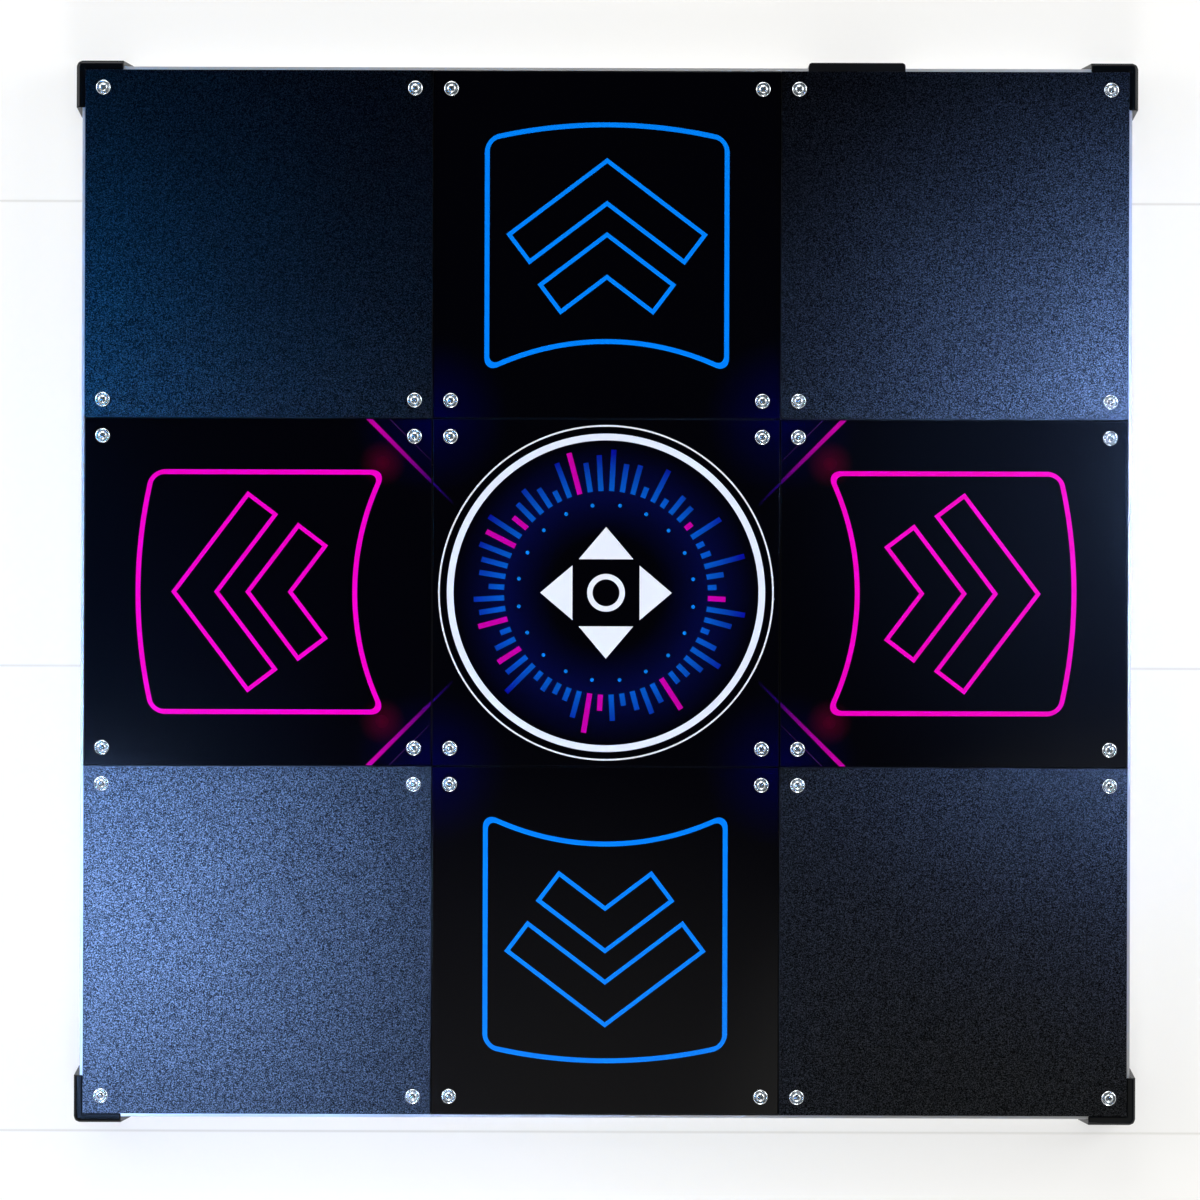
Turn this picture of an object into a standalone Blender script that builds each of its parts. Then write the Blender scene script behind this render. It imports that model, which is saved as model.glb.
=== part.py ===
# Home dance mat controller, a square pad of nine panels screwed down on a base board.
# The four arrow panels press down on contact plates and a foam gasket lifts them again.
# Metres, +Z up. The origin is on the floor under the pad's centre, +Y is the rear edge with the cable inlet.

import math

import bmesh
import bpy
from mathutils import Matrix, Vector

# The grid of panels
PANEL_PITCH = 0.280
PANELS_PER_SIDE = 3
PLATE_MARGIN = 0.00015
SHEET_MARGIN = 0.00075
TOUCH_GAP = 0.0003

# Thicknesses of the layers, from the floor up
FOOT_HEIGHT = 0.003
BOARD_THICKNESS = 0.018
CONTACT_THICKNESS = 0.001
PRESS_TRAVEL = 0.0015
CONTACT_RESERVE = 0.0003
SHEET_THICKNESS = 0.006
PLATE_THICKNESS = 0.012

# Small edge breaks
PLATE_CHAMFER = 0.0008
SHEET_CHAMFER = 0.0004

# Rubber feet
FOOT_RADIUS = 0.015
FOOT_CHAMFER = 0.0006
FOOT_INSET = 0.060

# Contact plates, foam gasket and packing board under the sheets
CONTACT_INSET = 0.022
GASKET_INSET = 0.0025
GASKET_WIDTH = 0.0085
PACKING_INSET = 0.004

# Panel screws, pan heads with a collar and a cross recess
SCREW_INSET = 0.0145
SHANK_RADIUS = 0.002
SCREW_BITE = 0.009
SCREW_POINT = 0.003
COLLAR_RADIUS = 0.0059
COLLAR_THICKNESS = 0.0011
DOME_RADIUS = 0.004
DOME_HEIGHT = 0.0016
CROSS_SPAN = 0.0046
CROSS_WIDTH = 0.0012
CROSS_DEPTH = 0.0012
HOLE_CLEARANCE = 0.00035
HOLE_SPARE_DEPTH = 0.001
ROUND_STEPS = 10

# Aluminium edge rails, an angle with its flange under the board
RAIL_WALL = 0.0024
RAIL_FLANGE_WIDTH = 0.018
RAIL_FLANGE_THICKNESS = 0.0015
RAIL_DROP = 0.0017
SIDE_HEAD_RADIUS = 0.0035
SIDE_HEAD_HEIGHT = 0.0016
SIDE_HEAD_EDGE = 0.0006
SIDE_SHANK_RADIUS = 0.0016
SIDE_SCREW_LENGTH = 0.014

# Corner guards, moulded angles that wrap the rails and end in a slope
GUARD_OVERHANG = 0.0075
GUARD_LIP = 0.0018
GUARD_BASE_ARM = 0.0425
GUARD_TOP_ARM = 0.038
GUARD_FLOOR_GAP = 0.0005
GUARD_CORNER = 0.0045
GUARD_EDGE = 0.0022

# Controller housing in the rear edge, under the right-hand corner plate
HOUSING_FROM_JOINT = 0.061
FACE_WIDTH = 0.078
FACE_OVERHANG = 0.0073
FACE_CORNER = 0.0024
TRAY_WIDTH = 0.0714
TRAY_DEPTH = 0.0517
TRAY_WALL = 0.002
TRAY_FLOOR = 0.002
LID_THICKNESS = 0.002
POCKET_FLOOR = 0.003
BOSS_HEIGHT = 0.002
BOSS_RADIUS = 0.0025
BOSS_INSET = 0.007

# Circuit board, its parts and the cable socket
CIRCUIT_THICKNESS = 0.0016
CIRCUIT_MARGIN = 0.0006
HEADER_WIDTH = 0.005
HEADER_INSET = 0.006
HEADER_HEIGHT = 0.0055
CHIP_SIZE = 0.010
CHIP_HEIGHT = 0.0014
CHIP_INSET = 0.020
SOCKET_WIDTH = 0.009
SOCKET_LENGTH = 0.0074
SOCKET_HEIGHT = 0.0033
SOCKET_WALL = 0.0004
SOCKET_BACK = 0.001
TONGUE_WIDTH = 0.0064
TONGUE_HEIGHT = 0.0007
TONGUE_SETBACK = 0.001
RECESS_WIDTH = 0.016
RECESS_HEIGHT = 0.009
RECESS_DEPTH = 0.0065

# Leads in channels routed in the board's top
LEAD_RADIUS = 0.001
LEAD_LANE = 0.004
LEAD_BEND = 0.006
LEAD_RISE = 0.012
CHANNEL_DEPTH = 0.0065
CHANNEL_MARGIN = 0.002
SIDE_RUN_INSET = 0.018
DOWN_RUN_INSET = 0.028
LEAD_UNDER_CONTACT = 0.012
REAR_RUN_INSET = 0.022

# Cutters reach this far past the faces they open
PAST = 0.001

HALF_GRID = PANEL_PITCH * PANELS_PER_SIDE / 2
SCREW_OFFSET = PANEL_PITCH / 2 - SCREW_INSET

BOARD_BOTTOM = FOOT_HEIGHT + TOUCH_GAP
BOARD_TOP = BOARD_BOTTOM + BOARD_THICKNESS
LAYER_BOTTOM = BOARD_TOP + TOUCH_GAP
PLATE_TOP = LAYER_BOTTOM + PLATE_THICKNESS
UPPER_CONTACT_BOTTOM = LAYER_BOTTOM + CONTACT_THICKNESS + PRESS_TRAVEL + CONTACT_RESERVE
SHEET_BOTTOM = UPPER_CONTACT_BOTTOM + CONTACT_THICKNESS + TOUCH_GAP
SHEET_TOP = SHEET_BOTTOM + SHEET_THICKNESS
LAYER_TOP = SHEET_BOTTOM - TOUCH_GAP

RAIL_INNER = HALF_GRID + TOUCH_GAP
RAIL_OUTER = RAIL_INNER + RAIL_WALL
RAIL_BOTTOM = BOARD_BOTTOM - TOUCH_GAP - RAIL_FLANGE_THICKNESS
RAIL_TOP = SHEET_TOP - RAIL_DROP

SCREW_TIP = BOARD_TOP - SCREW_BITE
SIDE_SCREW_Z = BOARD_BOTTOM + BOARD_THICKNESS / 2

HOUSING_X = PANEL_PITCH / 2 + HOUSING_FROM_JOINT
POCKET_BOTTOM = BOARD_BOTTOM + POCKET_FLOOR
TRAY_BOTTOM = POCKET_BOTTOM + TOUCH_GAP
LID_TOP = BOARD_TOP
TRAY_TOP = LID_TOP - LID_THICKNESS - TOUCH_GAP
TRAY_REAR = RAIL_INNER
TRAY_FRONT = TRAY_REAR - TRAY_DEPTH
FACE_REAR = HALF_GRID + FACE_OVERHANG
RECESS_FLOOR_Y = FACE_REAR - RECESS_DEPTH
ROOM_REAR = RECESS_FLOOR_Y - TRAY_WALL
CIRCUIT_BOTTOM = TRAY_BOTTOM + TRAY_FLOOR + BOSS_HEIGHT + TOUCH_GAP
CIRCUIT_TOP = CIRCUIT_BOTTOM + CIRCUIT_THICKNESS
SOCKET_BOTTOM = CIRCUIT_TOP + TOUCH_GAP
SOCKET_Z = SOCKET_BOTTOM + SOCKET_HEIGHT / 2
TRAY_LEFT = HOUSING_X - TRAY_WIDTH / 2
HEADER_LEFT = TRAY_LEFT + TRAY_WALL + HEADER_INSET

CHANNEL_FLOOR = BOARD_TOP - CHANNEL_DEPTH
LEAD_Z = CHANNEL_FLOOR + TOUCH_GAP + LEAD_RADIUS
LEAD_HIGH_Z = BOARD_TOP - LEAD_RADIUS
TRUNK_X = PANEL_PITCH / 2
CONTACT_HALF = PANEL_PITCH / 2 - CONTACT_INSET
SIDE_RUN_Y = CONTACT_HALF - SIDE_RUN_INSET
DOWN_RUN_Y = CONTACT_HALF - PANEL_PITCH - DOWN_RUN_INSET
REAR_RUN_Y = HALF_GRID - REAR_RUN_INSET

QUARTER = math.pi / 2
CORNERS = {
    "rear_right": (1, 1),
    "rear_left": (-1, 1),
    "front_left": (-1, -1),
    "front_right": (1, -1),
}
ARROWS = {
    "up": (0, 1),
    "left": (-1, 0),
    "down": (0, -1),
    "right": (1, 0),
}


def clear_scene():
    for item in list(bpy.data.objects):
        bpy.data.objects.remove(item, do_unlink=True)


def new_collection(name):
    collection = bpy.data.collections.new(name)
    bpy.context.scene.collection.children.link(collection)
    return collection


def make_material(name, color, roughness, metallic=0.0):
    material = bpy.data.materials.new(name)
    material.use_nodes = True
    shader = material.node_tree.nodes["Principled BSDF"]
    shader.inputs["Base Color"].default_value = (*color, 1.0)
    shader.inputs["Roughness"].default_value = roughness
    shader.inputs["Metallic"].default_value = metallic
    return material


def add_piece(name, mesh, material, location=(0, 0, 0), turn=0.0):
    piece = bpy.data.objects.new(name, mesh)
    piece.location = location
    piece.rotation_euler = (0, 0, turn)
    if not mesh.materials:
        mesh.materials.append(material)
    parts.objects.link(piece)
    return piece


def add_tool(name, mesh, location=(0, 0, 0), turn=0.0):
    tool = bpy.data.objects.new(name, mesh)
    tool.location = location
    tool.rotation_euler = (0, 0, turn)
    tool.hide_render = True
    tool.display_type = "WIRE"
    tools.objects.link(tool)
    return tool


def combine(piece, tool, operation):
    modifier = piece.modifiers.new(tool.name, "BOOLEAN")
    modifier.operation = operation
    modifier.solver = "EXACT"
    modifier.object = tool


def cut(piece, tool):
    combine(piece, tool, "DIFFERENCE")


def unite(piece, tool):
    combine(piece, tool, "UNION")


def settled_mesh(item, name):
    # The item's mesh after its modifiers, as a mesh that several objects can share
    bpy.context.view_layer.update()
    graph = bpy.context.evaluated_depsgraph_get()
    mesh = bpy.data.meshes.new_from_object(item.evaluated_get(graph))
    mesh.name = name
    return mesh


def add_box(form, low, high):
    low = Vector(low)
    high = Vector(high)
    place = Matrix.Translation((low + high) / 2) @ Matrix.Diagonal((*(high - low), 1))
    return bmesh.ops.create_cube(form, size=1.0, matrix=place)["verts"]


def add_cylinder(form, radius, low, high):
    # A cylinder between two points on its axis
    low = Vector(low)
    high = Vector(high)
    axis = high - low
    turn = Vector((0, 0, 1)).rotation_difference(axis).to_matrix().to_4x4()
    bmesh.ops.create_cone(
        form,
        cap_ends=True,
        segments=ROUND_STEPS,
        radius1=radius,
        radius2=radius,
        depth=axis.length,
        matrix=Matrix.Translation((low + high) / 2) @ turn,
    )


def mesh_from(form, name):
    mesh = bpy.data.meshes.new(name)
    form.to_mesh(mesh)
    form.free()
    return mesh


def box_mesh(name, low, high):
    form = bmesh.new()
    add_box(form, low, high)
    return mesh_from(form, name)


def square_low(half, z):
    return (-half, -half, z)


def square_high(half, z):
    return (half, half, z)


def bevel_edges(form, edges, width, steps=1):
    bmesh.ops.bevel(
        form,
        geom=edges,
        offset=width,
        offset_type="OFFSET",
        segments=steps,
        profile=0.5,
        affect="EDGES",
        clamp_overlap=True,
    )


def top_edges(form, z):
    return [edge for edge in form.edges if all(abs(vert.co.z - z) < 1e-7 for vert in edge.verts)]


def chamfered_square(name, half, low, high, chamfer):
    # A square slab whose upper rim is broken by a chamfer
    form = bmesh.new()
    add_box(form, square_low(half, low), square_high(half, high))
    bevel_edges(form, top_edges(form, high), chamfer)
    return mesh_from(form, name)


def round_off(mesh):
    mesh.shade_smooth()
    mesh.set_sharp_from_angle(angle=math.radians(40))


def turned_mesh(name, profile):
    # A profile of (radius, height) points, top to bottom, spun once round Z
    form = bmesh.new()
    verts = [form.verts.new((radius, 0, height)) for radius, height in profile]
    for upper, lower in zip(verts, verts[1:]):
        form.edges.new((upper, lower))
    spun = add_tool(name + "_profile", mesh_from(form, name))
    modifier = spun.modifiers.new("turn", "SCREW")
    modifier.axis = "Z"
    modifier.steps = ROUND_STEPS
    modifier.render_steps = ROUND_STEPS
    modifier.use_merge_vertices = True
    modifier.merge_threshold = 1e-6
    mesh = settled_mesh(spun, name)
    bpy.data.objects.remove(spun, do_unlink=True)
    round_off(mesh)
    return mesh


def cross_tool():
    # The driver's cross, from its floor to clear above the head
    top = COLLAR_THICKNESS + DOME_HEIGHT
    low_z = top - CROSS_DEPTH
    high_z = top + PAST
    span = CROSS_SPAN / 2
    width = CROSS_WIDTH / 2
    cross = add_tool("cross_slot", box_mesh("cross_slot", (-span, -width, low_z), (span, width, high_z)))
    arm = add_tool("cross_arm", box_mesh("cross_arm", (-width, -span, low_z), (width, span, high_z)))
    unite(cross, arm)
    return cross


def screw_mesh(name, seat_z):
    # A panel screw with its origin at the collar's seat
    tip = SCREW_TIP - seat_z
    top = COLLAR_THICKNESS + DOME_HEIGHT
    profile = [
        (0, top),
        (DOME_RADIUS * 0.7, top),
        (DOME_RADIUS, COLLAR_THICKNESS + DOME_HEIGHT * 0.4),
        (DOME_RADIUS, COLLAR_THICKNESS),
        (COLLAR_RADIUS, COLLAR_THICKNESS * 0.7),
        (COLLAR_RADIUS, 0),
        (SHANK_RADIUS, 0),
        (SHANK_RADIUS, tip + SCREW_POINT),
        (0, tip),
    ]
    blank = add_tool(name + "_blank", turned_mesh(name, profile))
    cut(blank, cross_slot)
    mesh = settled_mesh(blank, name)
    bpy.data.objects.remove(blank, do_unlink=True)
    return mesh


def screw_places():
    # A panel's four screws, by the corner that each one holds
    for corner, (side_x, side_y) in CORNERS.items():
        yield corner, Vector((side_x * SCREW_OFFSET, side_y * SCREW_OFFSET, 0))


def screwed_slab(name, slab, seat_z):
    # A fixed panel and its four screws as one body
    held = add_tool(name + "_slab", slab)
    screw = screw_mesh(name + "_screw", seat_z)
    helpers = []
    for corner, place in screw_places():
        helper = add_tool(name + "_screw_" + corner, screw, place + Vector((0, 0, seat_z)))
        unite(held, helper)
        helpers.append(helper)
    mesh = settled_mesh(held, name)
    for helper in helpers + [held]:
        bpy.data.objects.remove(helper, do_unlink=True)
    return mesh


def panel_place(cell):
    return Vector((cell[0] * PANEL_PITCH, cell[1] * PANEL_PITCH, 0))


def all_cells():
    return list(CORNERS.values()) + list(ARROWS.values()) + [(0, 0)]


def build_feet(material):
    profile = [
        (0, FOOT_HEIGHT),
        (FOOT_RADIUS, FOOT_HEIGHT),
        (FOOT_RADIUS, FOOT_CHAMFER),
        (FOOT_RADIUS - FOOT_CHAMFER, 0),
        (0, 0),
    ]
    mesh = turned_mesh("foot", profile)
    reach = HALF_GRID - FOOT_INSET
    for corner, (side_x, side_y) in CORNERS.items():
        add_piece("foot_" + corner, mesh, material, (side_x * reach, side_y * reach, 0))
    add_piece("foot_centre", mesh, material)


def screw_hole_tool():
    # One blind hole for each panel screw
    form = bmesh.new()
    radius = SHANK_RADIUS + HOLE_CLEARANCE
    for cell in all_cells():
        for _, place in screw_places():
            mouth = panel_place(cell) + place
            low = mouth + Vector((0, 0, SCREW_TIP - HOLE_SPARE_DEPTH))
            high = mouth + Vector((0, 0, BOARD_TOP + PAST))
            add_cylinder(form, radius, low, high)
    return add_tool("screw_holes", mesh_from(form, "screw_holes"))


def side_hole_tool():
    # Two blind holes in each edge of the board, on the joints between the panels
    form = bmesh.new()
    radius = SIDE_SHANK_RADIUS + HOLE_CLEARANCE
    for quarter in range(4):
        turn = Matrix.Rotation(quarter * QUARTER, 3, "Z")
        for side in (-1, 1):
            inner = (side * PANEL_PITCH / 2, RAIL_OUTER - SIDE_SCREW_LENGTH - HOLE_SPARE_DEPTH, SIDE_SCREW_Z)
            outer = (side * PANEL_PITCH / 2, HALF_GRID + PAST, SIDE_SCREW_Z)
            add_cylinder(form, radius, turn @ Vector(inner), turn @ Vector(outer))
    return add_tool("side_holes", mesh_from(form, "side_holes"))


def lead_routes():
    # Each lead's corner points in plan, from under its contact plate to the circuit's header
    end_x = HEADER_LEFT - TOUCH_GAP
    near = PANEL_PITCH - CONTACT_HALF + LEAD_UNDER_CONTACT
    inner = CONTACT_HALF - LEAD_UNDER_CONTACT
    return {
        "up": [(inner, REAR_RUN_Y), (end_x, REAR_RUN_Y)],
        "left": [
            (-near, SIDE_RUN_Y),
            (TRUNK_X - LEAD_LANE, SIDE_RUN_Y),
            (TRUNK_X - LEAD_LANE, REAR_RUN_Y - LEAD_LANE),
            (end_x, REAR_RUN_Y - LEAD_LANE),
        ],
        "down": [
            (inner, DOWN_RUN_Y),
            (TRUNK_X, DOWN_RUN_Y),
            (TRUNK_X, REAR_RUN_Y - 2 * LEAD_LANE),
            (end_x, REAR_RUN_Y - 2 * LEAD_LANE),
        ],
        "right": [
            (near, SIDE_RUN_Y),
            (TRUNK_X + LEAD_LANE, SIDE_RUN_Y),
            (TRUNK_X + LEAD_LANE, REAR_RUN_Y - 3 * LEAD_LANE),
            (end_x, REAR_RUN_Y - 3 * LEAD_LANE),
        ],
    }


def channel_tools():
    # Straight channels that hold the leads, a little wider than the lanes in them
    routes = lead_routes()
    margin = LEAD_RADIUS + CHANNEL_MARGIN
    pocket_left = TRAY_LEFT - TOUCH_GAP + PAST
    trunk_low = TRUNK_X - LEAD_LANE - margin
    trunk_high = TRUNK_X + LEAD_LANE + margin
    runs = {
        "rear_channel": (
            (routes["up"][0][0] - margin, REAR_RUN_Y - margin),
            (pocket_left, REAR_RUN_Y + margin),
        ),
        "trunk_mouth": (
            (trunk_low, REAR_RUN_Y - 3 * LEAD_LANE - margin),
            (pocket_left, REAR_RUN_Y),
        ),
        "trunk_channel": (
            (trunk_low, DOWN_RUN_Y - margin),
            (trunk_high, REAR_RUN_Y - LEAD_LANE),
        ),
        "side_channel": (
            (routes["left"][0][0] - margin, SIDE_RUN_Y - margin),
            (routes["right"][0][0] + margin, SIDE_RUN_Y + margin),
        ),
        "down_channel": (
            (routes["down"][0][0] - margin, DOWN_RUN_Y - margin),
            (TRUNK_X, DOWN_RUN_Y + margin),
        ),
    }
    for name, (low, high) in runs.items():
        yield add_tool(name, box_mesh(name, (*low, CHANNEL_FLOOR), (*high, BOARD_TOP + PAST)))


def build_board(material):
    mesh = box_mesh("base_board", square_low(HALF_GRID, BOARD_BOTTOM), square_high(HALF_GRID, BOARD_TOP))
    board = add_piece("base_board", mesh, material)
    cut(board, screw_hole_tool())
    cut(board, side_hole_tool())
    for tool in channel_tools():
        cut(board, tool)
    low = (TRAY_LEFT - TOUCH_GAP, TRAY_FRONT - TOUCH_GAP, POCKET_BOTTOM)
    high = (TRAY_LEFT + TRAY_WIDTH + TOUCH_GAP, HALF_GRID + PAST, BOARD_TOP + PAST)
    cut(board, add_tool("tray_pocket", box_mesh("tray_pocket", low, high)))


def side_screw_tool(side, flush=False):
    # A rail's side screw, lying along Y with its head outside the rail or let in flush
    head = [
        (0, SIDE_HEAD_HEIGHT),
        (SIDE_HEAD_RADIUS * 0.7, SIDE_HEAD_HEIGHT),
        (SIDE_HEAD_RADIUS, SIDE_HEAD_EDGE),
        (SIDE_HEAD_RADIUS, 0),
        (SIDE_SHANK_RADIUS, 0),
    ]
    if flush:
        head = [(0, -RAIL_WALL / 2), (SIDE_SHANK_RADIUS, -RAIL_WALL / 2)]
    shank = [(SIDE_SHANK_RADIUS, -SIDE_SCREW_LENGTH), (0, -SIDE_SCREW_LENGTH)]
    name = "flush_screw" if flush else "side_screw"
    name += "_left" if side < 0 else "_right"
    tool = add_tool(name, turned_mesh(name, head + shank))
    tool.location = (side * PANEL_PITCH / 2, RAIL_OUTER, SIDE_SCREW_Z)
    tool.rotation_euler = (-QUARTER, 0, 0)
    return tool


def mitre(form, corner, side):
    # Cut one end of a bar at 45 degrees through the frame's corner
    normal = Vector((side, -1, 0)).normalized()
    point = Vector((side * corner, corner, 0)) - normal * TOUCH_GAP / 2
    cut_geometry = form.verts[:] + form.edges[:] + form.faces[:]
    result = bmesh.ops.bisect_plane(form, geom=cut_geometry, plane_co=point, plane_no=normal, clear_outer=True)
    rim = [item for item in result["geom_cut"] if isinstance(item, bmesh.types.BMEdge)]
    bmesh.ops.edgeloop_fill(form, edges=rim)


def rail_blank():
    # The rear rail as a mitred bar, hollowed to an angle
    form = bmesh.new()
    low = (-RAIL_OUTER - PAST, RAIL_OUTER - RAIL_FLANGE_WIDTH, RAIL_BOTTOM)
    high = (RAIL_OUTER + PAST, RAIL_OUTER, RAIL_TOP)
    add_box(form, low, high)
    mitre(form, RAIL_OUTER, 1)
    mitre(form, RAIL_OUTER, -1)
    bmesh.ops.recalc_face_normals(form, faces=form.faces)
    blank = add_tool("rail_blank", mesh_from(form, "rail_blank"))
    low = (-RAIL_OUTER - PAST, RAIL_OUTER - RAIL_FLANGE_WIDTH - PAST, RAIL_BOTTOM + RAIL_FLANGE_THICKNESS)
    high = (RAIL_OUTER + PAST, RAIL_INNER, RAIL_TOP + PAST)
    cut(blank, add_tool("rail_hollow", box_mesh("rail_hollow", low, high)))
    return blank


def build_rails(material):
    # The rear rail is notched for the housing and its screws lie flush, so a plug passes them
    blank = rail_blank()
    rear = add_piece("rail_rear", settled_mesh(blank, "rear_rail"), material)
    half = FACE_WIDTH / 2 + TOUCH_GAP
    low = (HOUSING_X - half, RAIL_INNER - PAST, POCKET_BOTTOM)
    high = (HOUSING_X + half, RAIL_OUTER + PAST, RAIL_TOP + PAST)
    cut(rear, add_tool("housing_notch", box_mesh("housing_notch", low, high)))
    for side in (-1, 1):
        unite(rear, side_screw_tool(side, flush=True))
        unite(blank, side_screw_tool(side))
    mesh = settled_mesh(blank, "rail")
    for name, quarter in (("left", 1), ("front", 2), ("right", 3)):
        add_piece("rail_" + name, mesh, material, turn=quarter * QUARTER)
    bpy.data.objects.remove(blank, do_unlink=True)


def slope_end(form, axis):
    # Slope one arm's end from its long base to its short top
    corner = HALF_GRID + GUARD_OVERHANG
    top = RAIL_TOP + TOUCH_GAP + GUARD_LIP
    base_point = axis * (corner - GUARD_BASE_ARM) + Vector((0, 0, GUARD_FLOOR_GAP))
    top_point = axis * (corner - GUARD_TOP_ARM) + Vector((0, 0, top))
    slope = (top_point - base_point).normalized()
    across = Vector((0, 0, 1)).cross(axis)
    normal = across.cross(slope)
    if normal.dot(axis) < 0:
        normal.negate()
    cut_geometry = form.verts[:] + form.edges[:] + form.faces[:]
    result = bmesh.ops.bisect_plane(
        form, geom=cut_geometry, plane_co=base_point, plane_no=normal, clear_inner=True)
    rim = [item for item in result["geom_cut"] if isinstance(item, bmesh.types.BMEdge)]
    bmesh.ops.edgeloop_fill(form, edges=rim)


def guard_blank():
    # The rear right guard, a corner block hollowed for the plate and the rails
    corner = HALF_GRID + GUARD_OVERHANG
    start = corner - GUARD_BASE_ARM - PAST
    top = RAIL_TOP + TOUCH_GAP + GUARD_LIP
    form = bmesh.new()
    add_box(form, (start, start, GUARD_FLOOR_GAP), (corner, corner, top))
    slope_end(form, Vector((1, 0, 0)))
    slope_end(form, Vector((0, 1, 0)))
    bmesh.ops.recalc_face_normals(form, faces=form.faces)
    outer = [
        edge for edge in form.edges
        if all(abs(vert.co.x - corner) < 1e-6 and abs(vert.co.y - corner) < 1e-6 for vert in edge.verts)
    ]
    bevel_edges(form, outer, GUARD_CORNER, steps=2)
    outside = corner - GUARD_CORNER / 2
    rim = [edge for edge in top_edges(form, top) if all(max(vert.co.xy) > outside for vert in edge.verts)]
    bevel_edges(form, rim, GUARD_EDGE)
    blank = add_tool("guard_blank", mesh_from(form, "guard_blank"))
    inside = start - PAST
    plate_edge = HALF_GRID - PLATE_MARGIN + TOUCH_GAP
    rail_face = RAIL_OUTER + TOUCH_GAP
    plate_room = box_mesh("plate_room", (inside, inside, -PAST), (plate_edge, plate_edge, top + PAST))
    rail_room = box_mesh("rail_room", (inside, inside, -PAST), (rail_face, rail_face, RAIL_TOP + TOUCH_GAP))
    cut(blank, add_tool("plate_room", plate_room))
    cut(blank, add_tool("rail_room", rail_room))
    return blank


def build_guards(material):
    blank = guard_blank()
    mesh = settled_mesh(blank, "corner_guard")
    for quarter, corner in enumerate(CORNERS):
        add_piece("guard_" + corner, mesh, material, turn=quarter * QUARTER)
    bpy.data.objects.remove(blank, do_unlink=True)


def build_fixed_panels(plate_material, sheet_material, packing_material):
    plate_half = PANEL_PITCH / 2 - PLATE_MARGIN
    slab = chamfered_square("plate_slab", plate_half, LAYER_BOTTOM, PLATE_TOP, PLATE_CHAMFER)
    mesh = screwed_slab("corner_plate", slab, PLATE_TOP)
    for corner, cell in CORNERS.items():
        add_piece("corner_plate_" + corner, mesh, plate_material, panel_place(cell))
    sheet_half = PANEL_PITCH / 2 - SHEET_MARGIN
    slab = chamfered_square("centre_slab", sheet_half, SHEET_BOTTOM, SHEET_TOP, SHEET_CHAMFER)
    packing_half = PANEL_PITCH / 2 - PACKING_INSET
    packing = box_mesh("packing", square_low(packing_half, LAYER_BOTTOM), square_high(packing_half, LAYER_TOP))
    board = add_piece("centre_packing_board", packing, packing_material)
    cut(board, shank_hole_tool("packing_holes", LAYER_BOTTOM, LAYER_TOP))
    add_piece("centre_panel", screwed_slab("centre_panel", slab, SHEET_TOP), sheet_material)


def shank_hole_tool(name, low_z, high_z):
    # Four clearance holes for one panel's screws, right through a layer
    form = bmesh.new()
    for _, place in screw_places():
        low = place + Vector((0, 0, low_z - PAST))
        high = place + Vector((0, 0, high_z + PAST))
        add_cylinder(form, SHANK_RADIUS + HOLE_CLEARANCE, low, high)
    return add_tool(name, mesh_from(form, name))


def sheet_mesh():
    half = PANEL_PITCH / 2 - SHEET_MARGIN
    blank = add_tool("sheet", chamfered_square("sheet", half, SHEET_BOTTOM, SHEET_TOP, SHEET_CHAMFER))
    cut(blank, shank_hole_tool("sheet_holes", SHEET_BOTTOM, SHEET_TOP))
    mesh = settled_mesh(blank, "arrow_sheet")
    bpy.data.objects.remove(blank, do_unlink=True)
    return mesh


def gasket_mesh():
    outer = PANEL_PITCH / 2 - GASKET_INSET
    inner = outer - GASKET_WIDTH
    blank = add_tool("gasket", box_mesh("gasket", square_low(outer, LAYER_BOTTOM), square_high(outer, LAYER_TOP)))
    room = box_mesh("gasket_room", square_low(inner, LAYER_BOTTOM - PAST), square_high(inner, LAYER_TOP + PAST))
    cut(blank, add_tool("gasket_room", room))
    mesh = settled_mesh(blank, "gasket")
    bpy.data.objects.remove(blank, do_unlink=True)
    return mesh


def contact_mesh(name, low):
    high = low + CONTACT_THICKNESS
    return box_mesh(name, square_low(CONTACT_HALF, low), square_high(CONTACT_HALF, high))


def build_arrow_panels(sheet_materials, contact_material, foam_material, screw_material):
    sheet = sheet_mesh()
    gasket = gasket_mesh()
    upper = contact_mesh("upper_contact", UPPER_CONTACT_BOTTOM)
    lower = contact_mesh("lower_contact", LAYER_BOTTOM)
    seat = SHEET_TOP + TOUCH_GAP
    screw = screw_mesh("panel_screw", seat)
    for arrow, cell in ARROWS.items():
        place = panel_place(cell)
        add_piece(arrow + "_panel", sheet.copy(), sheet_materials[arrow], place)
        add_piece(arrow + "_upper_contact", upper, contact_material, place)
        add_piece(arrow + "_lower_contact", lower, contact_material, place)
        add_piece(arrow + "_foam_gasket", gasket, foam_material, place)
        for corner, offset in screw_places():
            spot = place + offset + Vector((0, 0, seat))
            add_piece(arrow + "_screw_" + corner, screw, screw_material, spot)


def housing_box(low_x, low_y, low_z, high_x, high_y, high_z):
    # A box placed across from the housing's middle plane
    return (HOUSING_X + low_x, low_y, low_z), (HOUSING_X + high_x, high_y, high_z)


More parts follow.
